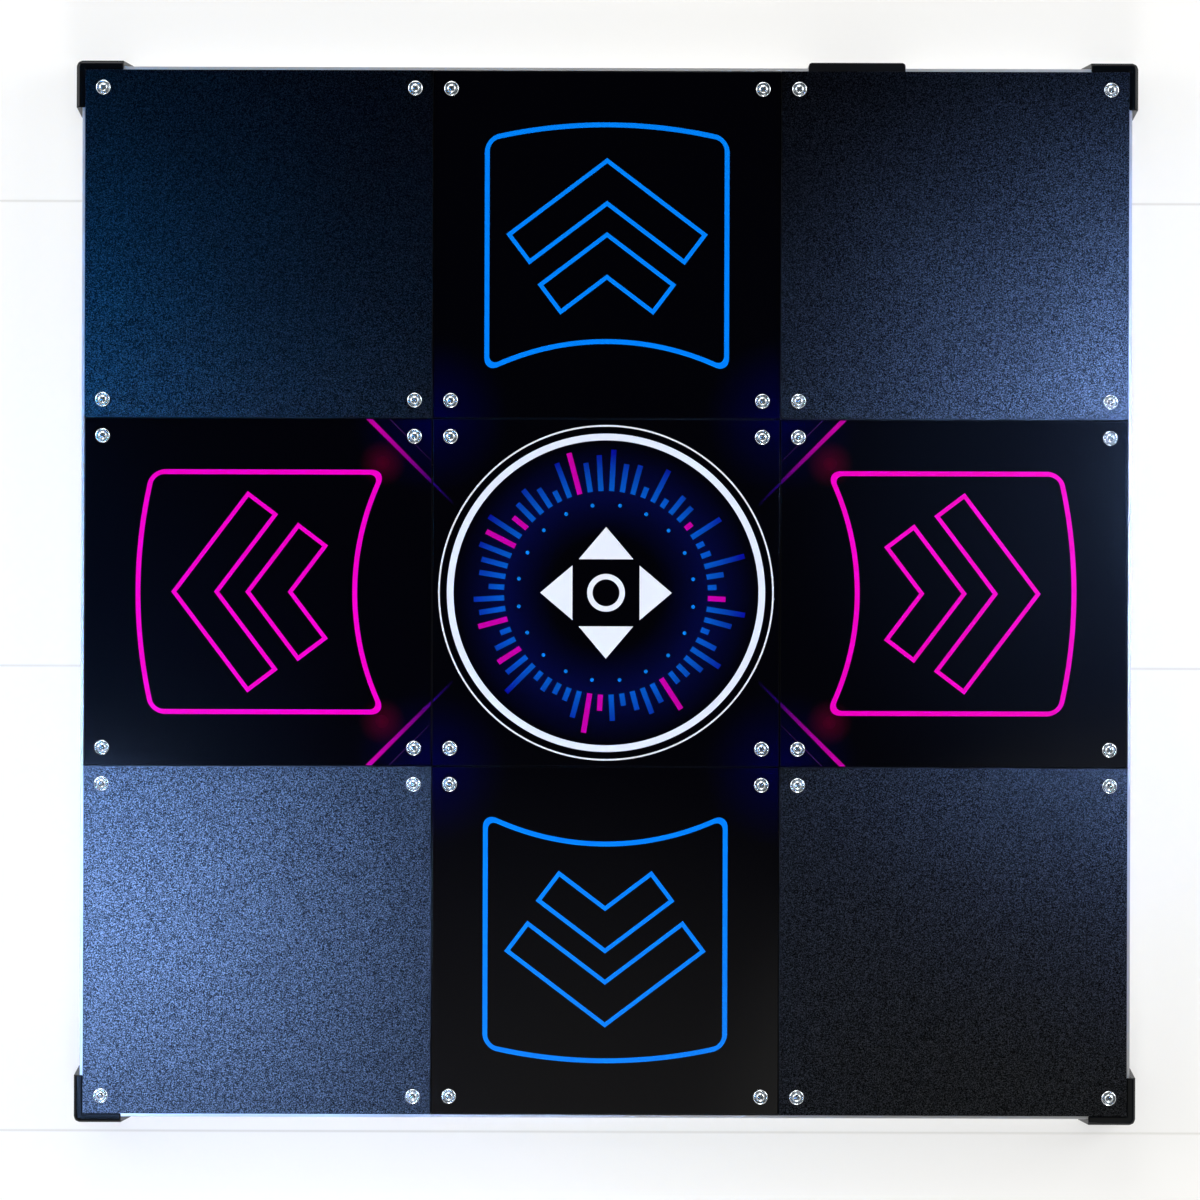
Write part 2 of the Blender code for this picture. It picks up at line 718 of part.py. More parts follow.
def build_housing(material):
    half = TRAY_WIDTH / 2
    low, high = housing_box(-half, TRAY_FRONT, TRAY_BOTTOM, half, TRAY_REAR + PAST, TRAY_TOP)
    housing = add_piece("controller_housing", box_mesh("controller_housing", low, high), material)
    form = bmesh.new()
    face_half = FACE_WIDTH / 2
    low, high = housing_box(-face_half, TRAY_REAR, TRAY_BOTTOM, face_half, FACE_REAR, RAIL_TOP + TOUCH_GAP)
    add_box(form, low, high)
    upright = [
        edge for edge in form.edges
        if all(abs(vert.co.y - FACE_REAR) < 1e-6 for vert in edge.verts)
        and abs(edge.verts[0].co.x - edge.verts[1].co.x) < 1e-6
    ]
    bevel_edges(form, upright, FACE_CORNER, steps=2)
    unite(housing, add_tool("housing_face", mesh_from(form, "housing_face")))

    room_half = half - TRAY_WALL
    room_floor = TRAY_BOTTOM + TRAY_FLOOR
    low, high = housing_box(-room_half, TRAY_FRONT + TRAY_WALL, room_floor, room_half, ROOM_REAR, TRAY_TOP + PAST)
    cut(housing, add_tool("tray_room", box_mesh("tray_room", low, high)))
    low, high = housing_box(
        -RECESS_WIDTH / 2, RECESS_FLOOR_Y, SOCKET_Z - RECESS_HEIGHT / 2,
        RECESS_WIDTH / 2, FACE_REAR + PAST, SOCKET_Z + RECESS_HEIGHT / 2)
    cut(housing, add_tool("plug_recess", box_mesh("plug_recess", low, high)))
    hole_half = SOCKET_WIDTH / 2 + TOUCH_GAP
    low, high = housing_box(
        -hole_half, ROOM_REAR - PAST, SOCKET_BOTTOM - TOUCH_GAP,
        hole_half, RECESS_FLOOR_Y + PAST, SOCKET_BOTTOM + SOCKET_HEIGHT + TOUCH_GAP)
    cut(housing, add_tool("socket_hole", box_mesh("socket_hole", low, high)))
    margin = LEAD_RADIUS + CHANNEL_MARGIN
    low, high = housing_box(
        -half - PAST, REAR_RUN_Y - 3 * LEAD_LANE - margin, LEAD_Z - LEAD_RADIUS - TOUCH_GAP,
        -room_half + PAST, REAR_RUN_Y + margin, TRAY_TOP + PAST)
    cut(housing, add_tool("lead_slot", box_mesh("lead_slot", low, high)))
    unite(housing, boss_tool())


def boss_tool():
    # Four short posts that carry the circuit board, sunk a little into the tray's floor
    form = bmesh.new()
    reach_x = TRAY_WIDTH / 2 - TRAY_WALL - BOSS_INSET
    front = TRAY_FRONT + TRAY_WALL + BOSS_INSET
    rear = ROOM_REAR - BOSS_INSET
    floor = TRAY_BOTTOM + TRAY_FLOOR
    for side in (-1, 1):
        for y in (front, rear):
            x = HOUSING_X + side * reach_x
            low = (x, y, floor - TRAY_FLOOR / 2)
            high = (x, y, floor + BOSS_HEIGHT)
            add_cylinder(form, BOSS_RADIUS, low, high)
    return add_tool("circuit_bosses", mesh_from(form, "circuit_bosses"))


def build_lid(material):
    half = TRAY_WIDTH / 2
    low, high = housing_box(
        -half, TRAY_FRONT, TRAY_TOP + TOUCH_GAP, half, TRAY_REAR - TOUCH_GAP, TRAY_TOP + TOUCH_GAP + LID_THICKNESS)
    add_piece("housing_lid", box_mesh("housing_lid", low, high), material)


def build_circuit(board_material, socket_material):
    half = TRAY_WIDTH / 2 - TRAY_WALL - CIRCUIT_MARGIN
    front = TRAY_FRONT + TRAY_WALL + CIRCUIT_MARGIN
    rear = ROOM_REAR - CIRCUIT_MARGIN
    low, high = housing_box(-half, front, CIRCUIT_BOTTOM, half, rear, CIRCUIT_TOP)
    circuit = add_piece("circuit_board", box_mesh("circuit_board", low, high), board_material)
    sunk = CIRCUIT_TOP - CIRCUIT_THICKNESS / 4
    margin = LEAD_RADIUS + CHANNEL_MARGIN / 2
    low = (HEADER_LEFT, REAR_RUN_Y - 3 * LEAD_LANE - margin, sunk)
    high = (HEADER_LEFT + HEADER_WIDTH, REAR_RUN_Y + margin, CIRCUIT_TOP + HEADER_HEIGHT)
    unite(circuit, add_tool("lead_header", box_mesh("lead_header", low, high)))
    chip_front = front + CHIP_INSET / 2
    low, high = housing_box(
        -CHIP_SIZE / 2, chip_front, sunk, CHIP_SIZE / 2, chip_front + CHIP_SIZE, CIRCUIT_TOP + CHIP_HEIGHT)
    unite(circuit, add_tool("controller_chip", box_mesh("controller_chip", low, high)))

    low, high = housing_box(
        -SOCKET_WIDTH / 2, RECESS_FLOOR_Y - SOCKET_LENGTH, SOCKET_BOTTOM,
        SOCKET_WIDTH / 2, RECESS_FLOOR_Y, SOCKET_BOTTOM + SOCKET_HEIGHT)
    socket = add_piece("usb_socket", box_mesh("usb_socket", low, high), socket_material)
    back = RECESS_FLOOR_Y - SOCKET_LENGTH + SOCKET_BACK
    mouth_half = SOCKET_WIDTH / 2 - SOCKET_WALL
    low, high = housing_box(
        -mouth_half, back, SOCKET_BOTTOM + SOCKET_WALL,
        mouth_half, RECESS_FLOOR_Y + PAST, SOCKET_BOTTOM + SOCKET_HEIGHT - SOCKET_WALL)
    cut(socket, add_tool("socket_mouth", box_mesh("socket_mouth", low, high)))
    low, high = housing_box(
        -TONGUE_WIDTH / 2, back - SOCKET_BACK / 2, SOCKET_Z - TONGUE_HEIGHT / 2,
        TONGUE_WIDTH / 2, RECESS_FLOOR_Y - TONGUE_SETBACK, SOCKET_Z + TONGUE_HEIGHT / 2)
    unite(socket, add_tool("socket_tongue", box_mesh("socket_tongue", low, high)))


def rounded_route(corners):
    # Corner points at the leads' height with each bend eased by three points
    points = [Vector((*corners[0], LEAD_HIGH_Z))]
    start = Vector((*corners[0], LEAD_Z))
    heading = (Vector((*corners[1], LEAD_Z)) - start).normalized()
    points.append(start + heading * LEAD_RISE * 0.35 + Vector((0, 0, (LEAD_HIGH_Z - LEAD_Z) * 0.75)))
    points.append(start + heading * LEAD_RISE * 0.65 + Vector((0, 0, (LEAD_HIGH_Z - LEAD_Z) * 0.25)))
    points.append(start + heading * LEAD_RISE)
    for before, corner, after in zip(corners, corners[1:], corners[2:]):
        middle = Vector((*corner, LEAD_Z))
        entry = middle + (Vector((*before, LEAD_Z)) - middle).normalized() * LEAD_BEND
        leave = middle + (Vector((*after, LEAD_Z)) - middle).normalized() * LEAD_BEND
        points.append(entry)
        for share in (0.25, 0.5, 0.75):
            points.append(entry.lerp(middle, share).lerp(middle.lerp(leave, share), share))
        points.append(leave)
    points.append(Vector((*corners[-1], LEAD_Z)))
    return points


def build_leads(material):
    for arrow, corners in lead_routes().items():
        points = rounded_route(corners)
        curve = bpy.data.curves.new(arrow + "_lead", "CURVE")
        curve.dimensions = "3D"
        curve.bevel_depth = LEAD_RADIUS
        curve.bevel_resolution = 1
        curve.use_fill_caps = True
        curve.twist_mode = "Z_UP"
        spline = curve.splines.new("POLY")
        spline.points.add(len(points) - 1)
        for knot, point in zip(spline.points, points):
            knot.co = (*point, 1.0)
        curve.materials.append(material)
        parts.objects.link(bpy.data.objects.new(arrow + "_lead", curve))


clear_scene()
parts = new_collection("dance_mat_controller")
tools = new_collection("cutters")
cross_slot = cross_tool()

build_feet(make_material("foot_rubber", (0.02, 0.02, 0.02), 0.85))
build_board(make_material("board_wood", (0.42, 0.31, 0.20), 0.75))
build_rails(make_material("rail_aluminium", (0.78, 0.79, 0.80), 0.35, 1.0))
build_guards(make_material("guard_plastic", (0.015, 0.016, 0.02), 0.45))
build_fixed_panels(
    make_material("plate_laminate", (0.02, 0.023, 0.035), 0.55),
    make_material("centre_print", (0.01, 0.02, 0.06), 0.25),
    make_material("packing_wood", (0.45, 0.34, 0.22), 0.75),
)
arrow_blue = make_material("blue_arrow_print", (0.0, 0.05, 0.16), 0.25)
arrow_magenta = make_material("magenta_arrow_print", (0.12, 0.0, 0.08), 0.25)
build_arrow_panels(
    {"up": arrow_blue, "down": arrow_blue, "left": arrow_magenta, "right": arrow_magenta},
    make_material("contact_metal", (0.66, 0.67, 0.68), 0.3, 1.0),
    make_material("gasket_foam", (0.03, 0.03, 0.035), 0.95),
    make_material("screw_zinc", (0.80, 0.82, 0.84), 0.25, 1.0),
)
build_housing(make_material("housing_plastic", (0.012, 0.012, 0.014), 0.5))
build_lid(make_material("lid_plastic", (0.012, 0.012, 0.014), 0.5))
build_circuit(
    make_material("circuit_laminate", (0.02, 0.16, 0.07), 0.45),
    make_material("socket_metal", (0.75, 0.76, 0.78), 0.3, 1.0),
)
build_leads(make_material("lead_sleeve", (0.10, 0.10, 0.11), 0.6))
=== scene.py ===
import math
import random

import bmesh
import bpy
from mathutils import Matrix, Vector


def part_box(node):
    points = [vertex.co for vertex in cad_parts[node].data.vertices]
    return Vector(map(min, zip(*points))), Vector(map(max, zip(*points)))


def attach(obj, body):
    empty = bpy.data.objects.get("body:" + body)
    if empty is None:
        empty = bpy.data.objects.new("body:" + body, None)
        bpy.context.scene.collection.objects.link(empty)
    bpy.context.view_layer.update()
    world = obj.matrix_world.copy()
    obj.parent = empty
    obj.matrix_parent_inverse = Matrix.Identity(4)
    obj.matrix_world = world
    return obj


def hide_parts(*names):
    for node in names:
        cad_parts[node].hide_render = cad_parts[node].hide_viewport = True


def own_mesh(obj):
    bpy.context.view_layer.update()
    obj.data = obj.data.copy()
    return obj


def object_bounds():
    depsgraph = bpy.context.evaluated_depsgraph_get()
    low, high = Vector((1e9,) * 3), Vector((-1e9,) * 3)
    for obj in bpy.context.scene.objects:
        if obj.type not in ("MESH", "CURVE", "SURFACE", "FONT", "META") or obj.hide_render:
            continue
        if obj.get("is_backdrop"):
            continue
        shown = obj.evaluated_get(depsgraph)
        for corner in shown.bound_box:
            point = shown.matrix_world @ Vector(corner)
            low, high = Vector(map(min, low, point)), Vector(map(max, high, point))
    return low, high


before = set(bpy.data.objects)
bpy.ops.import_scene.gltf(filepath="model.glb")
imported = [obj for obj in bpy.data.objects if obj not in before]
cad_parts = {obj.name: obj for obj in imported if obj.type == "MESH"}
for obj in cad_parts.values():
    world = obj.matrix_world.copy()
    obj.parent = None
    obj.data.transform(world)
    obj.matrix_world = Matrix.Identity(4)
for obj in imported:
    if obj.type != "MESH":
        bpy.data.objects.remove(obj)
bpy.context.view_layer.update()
print("frame loaded,", len(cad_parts), "nodes")

mm = 0.001
pad = {"pitch": 0.28, "screwAt": 0.1255, "blue": (0, 128, 246), "magenta": (238, 0, 182)}
corners = {"rear_right": (1, 1), "rear_left": (-1, 1), "front_left": (-1, -1), "front_right": (1, -1)}
# each arrow panel: the cell of the grid it lies in, and the turn of its print, whose arrow points outwards
arrows = {"up": ((0, 1), 0), "left": ((-1, 0), 90), "down": ((0, -1), 180), "right": ((1, 0), -90)}


def tone(red, green, blue):
    # a colour as a colour picker shows it, 0 to 255, made linear for a socket
    values = [value / 255 for value in (red, green, blue)]
    return tuple(v / 12.92 if v <= 0.04045 else ((v + 0.055) / 1.055) ** 2.4 for v in values) + (1,)


class Wire:
    # a socket of a material; sums on it add Math nodes, so shader maths reads as plain Python
    def __init__(self, paint, socket):
        self.paint = paint
        self.socket = socket

    def __add__(self, other):
        return self.paint.maths("ADD", self, other)

    def __sub__(self, other):
        return self.paint.maths("SUBTRACT", self, other)

    def __rsub__(self, other):
        return self.paint.maths("SUBTRACT", other, self)

    def __mul__(self, other):
        return self.paint.maths("MULTIPLY", self, other)

    def __truediv__(self, other):
        return self.paint.maths("DIVIDE", self, other)

    def __rtruediv__(self, other):
        return self.paint.maths("DIVIDE", other, self)

    def __pow__(self, other):
        return self.paint.maths("POWER", self, other)

    def __abs__(self):
        return self.paint.maths("ABSOLUTE", self)

    __radd__ = __add__
    __rmul__ = __mul__


class Paint:
    # one material and the nodes that make its finish
    def __init__(self, name, **fixed):
        self.material = bpy.data.materials.new(name)
        self.material.use_nodes = True
        self.tree = self.material.node_tree
        self.shader = self.tree.nodes["Principled BSDF"]
        self.shade({key.replace("_", " "): value for key, value in fixed.items()})
        self.spot = self.node("ShaderNodeTexCoord", output="Object")

    def feed(self, socket, value):
        if isinstance(value, Wire):
            self.tree.links.new(value.socket, socket)
        else:
            socket.default_value = value

    def shade(self, values):
        for name, value in values.items():
            self.feed(self.shader.inputs[name], value)

    def node(self, kind, settings=None, inputs=None, output=0):
        made = self.tree.nodes.new(kind)
        for name, value in (settings or {}).items():
            setattr(made, name, value)
        for name, value in (inputs or {}).items():
            self.feed(made.inputs[name], value)
        return Wire(self, made.outputs[output])

    def maths(self, operation, *values):
        return self.node("ShaderNodeMath", {"operation": operation}, dict(enumerate(values)))

    def least(self, first, second):
        return self.maths("MINIMUM", first, second)

    def most(self, first, second):
        return self.maths("MAXIMUM", first, second)

    def limited(self, value):
        return self.node("ShaderNodeClamp", {}, {"Value": value})

    def inside(self, distance, blur=0.1):
        # 1 where the distance is below 0, with a short ramp at the edge
        return self.limited(0.5 - distance / blur)

    def length(self, first, second):
        return (first * first + second * second) ** 0.5

    def mix(self, mask, first, second):
        return self.node("ShaderNodeMix", {"data_type": "RGBA"}, {0: mask, 6: first, 7: second}, output=2)

    def placed(self, centre=(0, 0, 0), turn=0, scale=(1, 1, 1)):
        turned = (0, 0, math.radians(turn))
        values = {"Vector": self.spot, "Location": centre, "Rotation": turned, "Scale": scale}
        return self.node("ShaderNodeMapping", {"vector_type": "TEXTURE"}, values)

    def axes(self, vector):
        split = self.node("ShaderNodeSeparateXYZ", inputs={"Vector": vector}).socket.node
        return [Wire(self, socket) for socket in split.outputs]

    def noise(self, scale, detail=2.0, roughness=0.5, vector=None):
        values = {"Vector": vector or self.spot, "Scale": scale, "Detail": detail, "Roughness": roughness}
        return self.node("ShaderNodeTexNoise", {}, values)

    def cells(self, scale, feature="F1", vector=None, output="Distance"):
        values = {"Vector": vector or self.spot, "Scale": scale}
        return self.node("ShaderNodeTexVoronoi", {"feature": feature}, values, output)

    def around(self, angle, radius, count):
        # cuts a circle in equal parts; gives a part's number and how far a point is from its middle line
        place = angle / math.tau * count + count
        part = self.maths("FLOOR", place)
        return part, (place - part - 0.5) * math.tau / count * radius

    def chance(self, number):
        return self.node("ShaderNodeTexWhiteNoise", {"noise_dimensions": "1D"}, {"W": number})

    def bump(self, height, distance, strength=1.0):
        values = {"Height": height, "Distance": distance, "Strength": strength}
        return self.node("ShaderNodeBump", {}, values, "Normal")


# ways to shape a piece

def block(form, low, high):
    low, high = Vector(low), Vector(high)
    place = Matrix.Translation((low + high) / 2) @ Matrix.Diagonal((*(high - low), 1))
    return bmesh.ops.create_cube(form, size=1, matrix=place)["verts"]


def soften(form, width, steps=2, angle=25, chosen=None):
    # rounds the edges sharper than the angle
    edges = [edge for edge in form.edges if edge.is_manifold and edge.calc_face_angle() > math.radians(angle)]
    if chosen:
        edges = [edge for edge in edges if chosen(edge)]
    bmesh.ops.bevel(form, geom=edges, offset=width, affect="EDGES", segments=steps, profile=0.5, material=-1,
                    clamp_overlap=True)


def upright(edge):
    return abs((edge.verts[0].co - edge.verts[1].co).normalized().z) > 0.9


def turned(profile, steps=40):
    # spins a profile of (radius, height) points about Z and closes its poles
    form = bmesh.new()
    points = [form.verts.new((radius, 0, height)) for radius, height in profile]
    edges = [form.edges.new(pair) for pair in zip(points, points[1:])]
    bmesh.ops.spin(form, geom=points + edges, cent=(0, 0, 0), axis=(0, 0, 1), angle=math.tau, steps=steps,
                   use_merge=True)
    bmesh.ops.remove_doubles(form, verts=form.verts, dist=1e-6)
    bmesh.ops.recalc_face_normals(form, faces=form.faces)
    return form


def helper(form):
    mesh = bpy.data.meshes.new("helper")
    form.to_mesh(mesh)
    form.free()
    thing = bpy.data.objects.new("helper", mesh)
    bpy.context.collection.objects.link(thing)
    return thing


def carved(form, *tools, operation="DIFFERENCE"):
    # cuts tools from a form, or joins them to it, one after the other
    body = helper(form)
    things = [helper(tool) for tool in tools]
    for thing in things:
        step = body.modifiers.new("step", "BOOLEAN")
        step.operation, step.object, step.solver = operation, thing, "EXACT"
    result = bmesh.new()
    result.from_object(body, bpy.context.evaluated_depsgraph_get())
    for thing in [body, *things]:
        mesh = thing.data
        bpy.data.objects.remove(thing)
        bpy.data.meshes.remove(mesh)
    return result


def rod(radius, low, high, sides=32):
    # a cylinder between two points
    form = bmesh.new()
    low, high = Vector(low), Vector(high)
    place = Matrix.Translation((low + high) / 2) @ (high - low).to_track_quat("Z", "Y").to_matrix().to_4x4()
    bmesh.ops.create_cone(form, cap_ends=True, segments=sides, radius1=radius, radius2=radius,
                          depth=(high - low).length, matrix=place)
    return form


def slabForm(low, high):
    form = bmesh.new()
    block(form, low, high)
    return form


def settled(form, place):
    copy = form.copy()
    bmesh.ops.transform(copy, matrix=place, verts=copy.verts)
    return copy


def joined(forms):
    whole = bmesh.new()
    for form in forms:
        mesh = bpy.data.meshes.new("helper")
        form.to_mesh(mesh)
        form.free()
        whole.from_mesh(mesh)
        bpy.data.meshes.remove(mesh)
    return whole


def finish(name, form, paint, replaced=(), body="base", angle=32, second=None):
    mesh = bpy.data.meshes.new(name)
    form.to_mesh(mesh)
    form.free()
    mesh.shade_smooth()
    mesh.set_sharp_from_angle(angle=math.radians(angle))
    for look in (paint, second):
        if look:
            mesh.materials.append(look.material)
    piece = bpy.data.objects.new(name, mesh)
    bpy.context.collection.objects.link(piece)
    shading = piece.modifiers.new("shading", "WEIGHTED_NORMAL")  # keeps flat faces flat beside rounded edges
    shading.keep_sharp = True
    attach(piece, body)
    if replaced:
        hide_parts(*replaced)
    return piece


def coat(paint, *nodes):
    # gives a CAD node that keeps its own shape a better finish
    for name in nodes:
        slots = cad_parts[name].material_slots
        for slot in slots:
            slot.material = paint.material


# camera, floor and light

view = {"above": 2.9, "padTop": 0.0317, "width": 0.9657, "shiftX": -0.0048, "shiftY": -0.0058, "roll": 0.17,
        "sensor": 36, "farthest": 50}
lamps = {
    # place, aim, width and depth, beam in degrees, power, colour
    # small windows with narrow beams, mirrored in the texture of the plates
    "window": ((-0.98, -0.505, 2.85), (-0.30, -0.265, 0), (0.25, 0.55), 22, 0.77, (0.31, 0.52, 1.0)),
    "front_window": ((-0.47, -1.02, 2.85), (-0.26, -0.42, 0), (0.25, 0.25), 22, 0.07, (0.32, 0.52, 1.0)),
    "far_window": ((1.10, 0.168, 2.85), (0.42, 0.055, 0), (0.25, 0.25), 17, 0.46, (0.30, 0.50, 1.0)),
    "blue_window": ((-1.24, 0.19, 2.85), (-0.44, 0.1, 0), (0.3, 0.3), 24, 0.33, (0.01, 0.34, 1.0)),
    # wide dim panels whose narrow beams leave a soft glow in the glossy sheets
    "down_glow": ((0.0, -1.0, 2.85), (0.04, -0.394, 0), (2.2, 1.8), 19, 0.033, (1.0, 0.97, 0.88)),
    "right_glow": ((0.85, 0.1, 2.85), (0.32, -0.01, 0), (1.2, 1.2), 15, 0.0115, (0.27, 0.46, 1.0)),
    "corner_glow": ((0.62, -0.62, 2.85), (0.14, -0.14, 0), (1.4, 1.4), 16, 0.042, (1.0, 1.0, 0.92)),
    "left_glow": ((-0.85, -0.15, 2.85), (-0.3, 0.0, 0), (1.2, 1.2), 14, 0.005, (0.12, 0.3, 1.0)),
    # plain soft studio light
    "left_softbox": ((-2.6, 0.9, 1.2), (0, 0, 0), (1.6, 1.6), 180, 40, (1.0, 1.0, 1.0)),
    "right_softbox": ((2.6, 1.0, 1.2), (0, 0, 0), (1.6, 1.6), 180, 41, (1.0, 1.0, 1.0)),
    "front_softbox": ((0.2, -2.9, 1.5), (0, 0, 0), (1.0, 1.0), 180, 52, (1.0, 1.0, 1.0)),
    "rear_softbox": ((-0.3, 2.8, 1.1), (0, 0, 0), (2.0, 2.0), 180, 54, (1.0, 1.0, 1.0)),
}
room = {"horizon": 1.1, "top": 0.01, "fadeFrom": 0.1, "fadeTo": 0.8}
# the glow is the share of its white that the floor gives itself near the pad
ground = {"half": 9, "board": 0.378, "boardStart": 20.66, "seamHalf": 0.0022, "seamBlur": 0.003,
          "seamTone": (206, 202, 190), "glow": 0.5, "farFrom": 1.2, "farRange": 2.0}


def setCamera():
    data = bpy.data.cameras.new("camera")
    camera = bpy.data.objects.new("camera", data)
    bpy.context.scene.collection.objects.link(camera)
    camera.location = (view["shiftX"], view["shiftY"], view["padTop"] + view["above"])
    camera.rotation_euler = (0, 0, math.radians(view["roll"]))
    data.sensor_width = view["sensor"]
    data.lens = view["sensor"] * view["above"] / view["width"]
    data.clip_end = view["farthest"]
    bpy.context.scene.camera = camera


def setLamps():
    for name, (place, aim, size, beam, power, colour) in lamps.items():
        data = bpy.data.lights.new(name, "AREA")
        data.shape, data.energy, data.color = "ELLIPSE", power, colour
        data.size, data.size_y = size
        data.spread = math.radians(beam)
        lamp = bpy.data.objects.new(name, data)
        bpy.context.scene.collection.objects.link(lamp)
        lamp.location = place
        lamp.rotation_euler = (Vector(aim) - Vector(place)).to_track_quat("-Z", "Y").to_euler()


def shareSoftboxes(tops):
    # seen from the side, a smooth or black top would mirror a whole softbox and lose its print,
    # so a twin of each softbox that casts no mirror image lights the tops in its place
    lit, skipped = (bpy.data.collections.new(name) for name in ("tops_lit_by_twins", "tops_skipped"))
    for piece in tops:
        lit.objects.link(piece)
        skipped.objects.link(piece)
    for member in skipped.collection_objects:
        member.light_linking.link_state = "EXCLUDE"
    for name in [name for name in lamps if name.endswith("softbox")]:
        lamp = bpy.data.objects[name]
        twin = lamp.copy()
        twin.name, twin.visible_glossy = name + "_twin", False
        bpy.context.scene.collection.objects.link(twin)
        lamp.light_linking.receiver_collection = skipped
        twin.light_linking.receiver_collection = lit


def setRoom():
    # a pale room, dim overhead where the camera hangs, and plain white where the camera sees it
    world = bpy.data.worlds.new("room")
    bpy.context.scene.world = world
    world.use_nodes = True
    tree = world.node_tree
    background = tree.nodes["Background"]
    where = tree.nodes.new("ShaderNodeTexCoord")
    height = tree.nodes.new("ShaderNodeSeparateXYZ")
    fade = tree.nodes.new("ShaderNodeMapRange")
    fade.interpolation_type = "SMOOTHSTEP"
    fade.inputs["From Min"].default_value = room["fadeFrom"]
    fade.inputs["From Max"].default_value = room["fadeTo"]
    fade.inputs["To Min"].default_value = room["horizon"]
    fade.inputs["To Max"].default_value = room["top"]
    rays = tree.nodes.new("ShaderNodeLightPath")
    strength = tree.nodes.new("ShaderNodeMath")
    strength.operation = "MAXIMUM"
    tree.links.new(where.outputs["Generated"], height.inputs[0])
    tree.links.new(height.outputs["Z"], fade.inputs["Value"])
    tree.links.new(fade.outputs["Result"], strength.inputs[0])
    tree.links.new(rays.outputs["Is Camera Ray"], strength.inputs[1])
    tree.links.new(strength.outputs[0], background.inputs["Strength"])
    background.inputs["Color"].default_value = (1, 1, 1, 1)


def setFloor():
    form = bmesh.new()
    bmesh.ops.create_grid(form, x_segments=1, y_segments=1, size=ground["half"])
    mesh = bpy.data.meshes.new("floor")
    form.to_mesh(mesh)
    form.free()
    floor = bpy.data.objects.new("floor", mesh)
    bpy.context.scene.collection.objects.link(floor)
    paint = Paint("pale_floor", Roughness=0.7, Specular_IOR_Level=0.2)
    x, y, z = paint.axes(paint.spot)
    seam = abs(paint.maths("FRACT", y / ground["board"] + ground["boardStart"]) - 0.5) - ground["seamHalf"]
    boards = paint.mix(paint.noise(3, 3), tone(248, 246, 240), tone(251, 249, 243))
    seam = paint.inside(seam, ground["seamBlur"])
    paint.shade({"Base Color": paint.mix(seam, boards, tone(*ground["seamTone"]))})
    rays = paint.node("ShaderNodeLightPath").socket.node.outputs
    seen = paint.most(Wire(paint, rays["Is Camera Ray"]), Wire(paint, rays["Is Glossy Ray"]))
    seen = paint.most(seen, Wire(paint, rays["Is Transmission Ray"]))
    # all white far out, and part white near the pad, where its shadow falls
    far = paint.limited((paint.length(x, y) - ground["farFrom"]) / ground["farRange"])
    share = seen * (ground["glow"] + far * (1 - ground["glow"]))
    white = paint.node("ShaderNodeEmission", {}, {"Strength": 1.0})
    shaded = Wire(paint, paint.shader.outputs[0])
    blend = paint.node("ShaderNodeMixShader", {}, {0: share, 1: shaded, 2: white})
    paint.tree.links.new(blend.socket, paint.tree.nodes["Material Output"].inputs["Surface"])
    mesh.materials.append(paint.material)
    floor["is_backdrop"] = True


bpy.context.scene.view_settings.view_transform = "Standard"
setCamera()
setLamps()
setRoom()
setFloor()
print("camera, room and floor set")


# corner plates: 12 mm boards with a pebbled black laminate

cornerPlate = {"half": 0.13985, "low": 0.0216, "top": 0.0336, "edge": 0.00014, "hole": 0.0023,
               "grain": 1150, "flakeFrom": 0.27, "flakeGain": 2.2, "texture": 1000, "textureDepth": 0.00006,
               "gloss": 0.275}


def plateFinish():
    # black flake paint: the fine texture spreads each window's reflection, and the flakes make the grain
    paint = Paint("black_flake_paint", Metallic=1.0)
    grain = paint.noise(cornerPlate["grain"], 1, 0.5)
    flakes = paint.limited((grain - cornerPlate["flakeFrom"]) * cornerPlate["flakeGain"])
    cloud = paint.noise(11, 4, 0.6)
    paint.shade({
        "Base Color": paint.mix(flakes ** 2, tone(9, 9, 11), tone(92, 94, 99)),
        "Roughness": cornerPlate["gloss"] + cloud * 0.02,
        "Normal": paint.bump(paint.noise(cornerPlate["texture"], 0), cornerPlate["textureDepth"]),
    })
    return paint


def drilledSlab(column, row, sizes):
    # a square board of the grid with a screw hole at each corner
    x, y, half = column * pad["pitch"], row * pad["pitch"], sizes["half"]
    form = slabForm((x - half, y - half, sizes["low"]), (x + half, y + half, sizes["top"]))
    soften(form, sizes["edge"] * 1.2, 3, chosen=upright)
    soften(form, sizes["edge"], 3, angle=40)
    holes = []
    for sx, sy in corners.values():
        spot = (x + pad["screwAt"] * sx, y + pad["screwAt"] * sy)
        holes.append(rod(sizes["hole"], (*spot, sizes["low"] - mm), (*spot, sizes["top"] + mm)))
    return carved(form, *holes)


tops = []  # the plates and sheets, which the twins of the softboxes light
plateLook = plateFinish()
for corner, (sx, sy) in corners.items():
    form = drilledSlab(sx, sy, cornerPlate)
    tops.append(finish(corner + "_plate", form, plateLook, ["corner_plate_" + corner]))
print("corner plates made")


# printed sheets: 6 mm clear-topped boards, printed underneath their gloss

sheet = {"half": 0.13925, "low": 0.0257, "top": 0.0317, "edge": 0.00012, "hole": 0.00235, "gloss": 0.055}
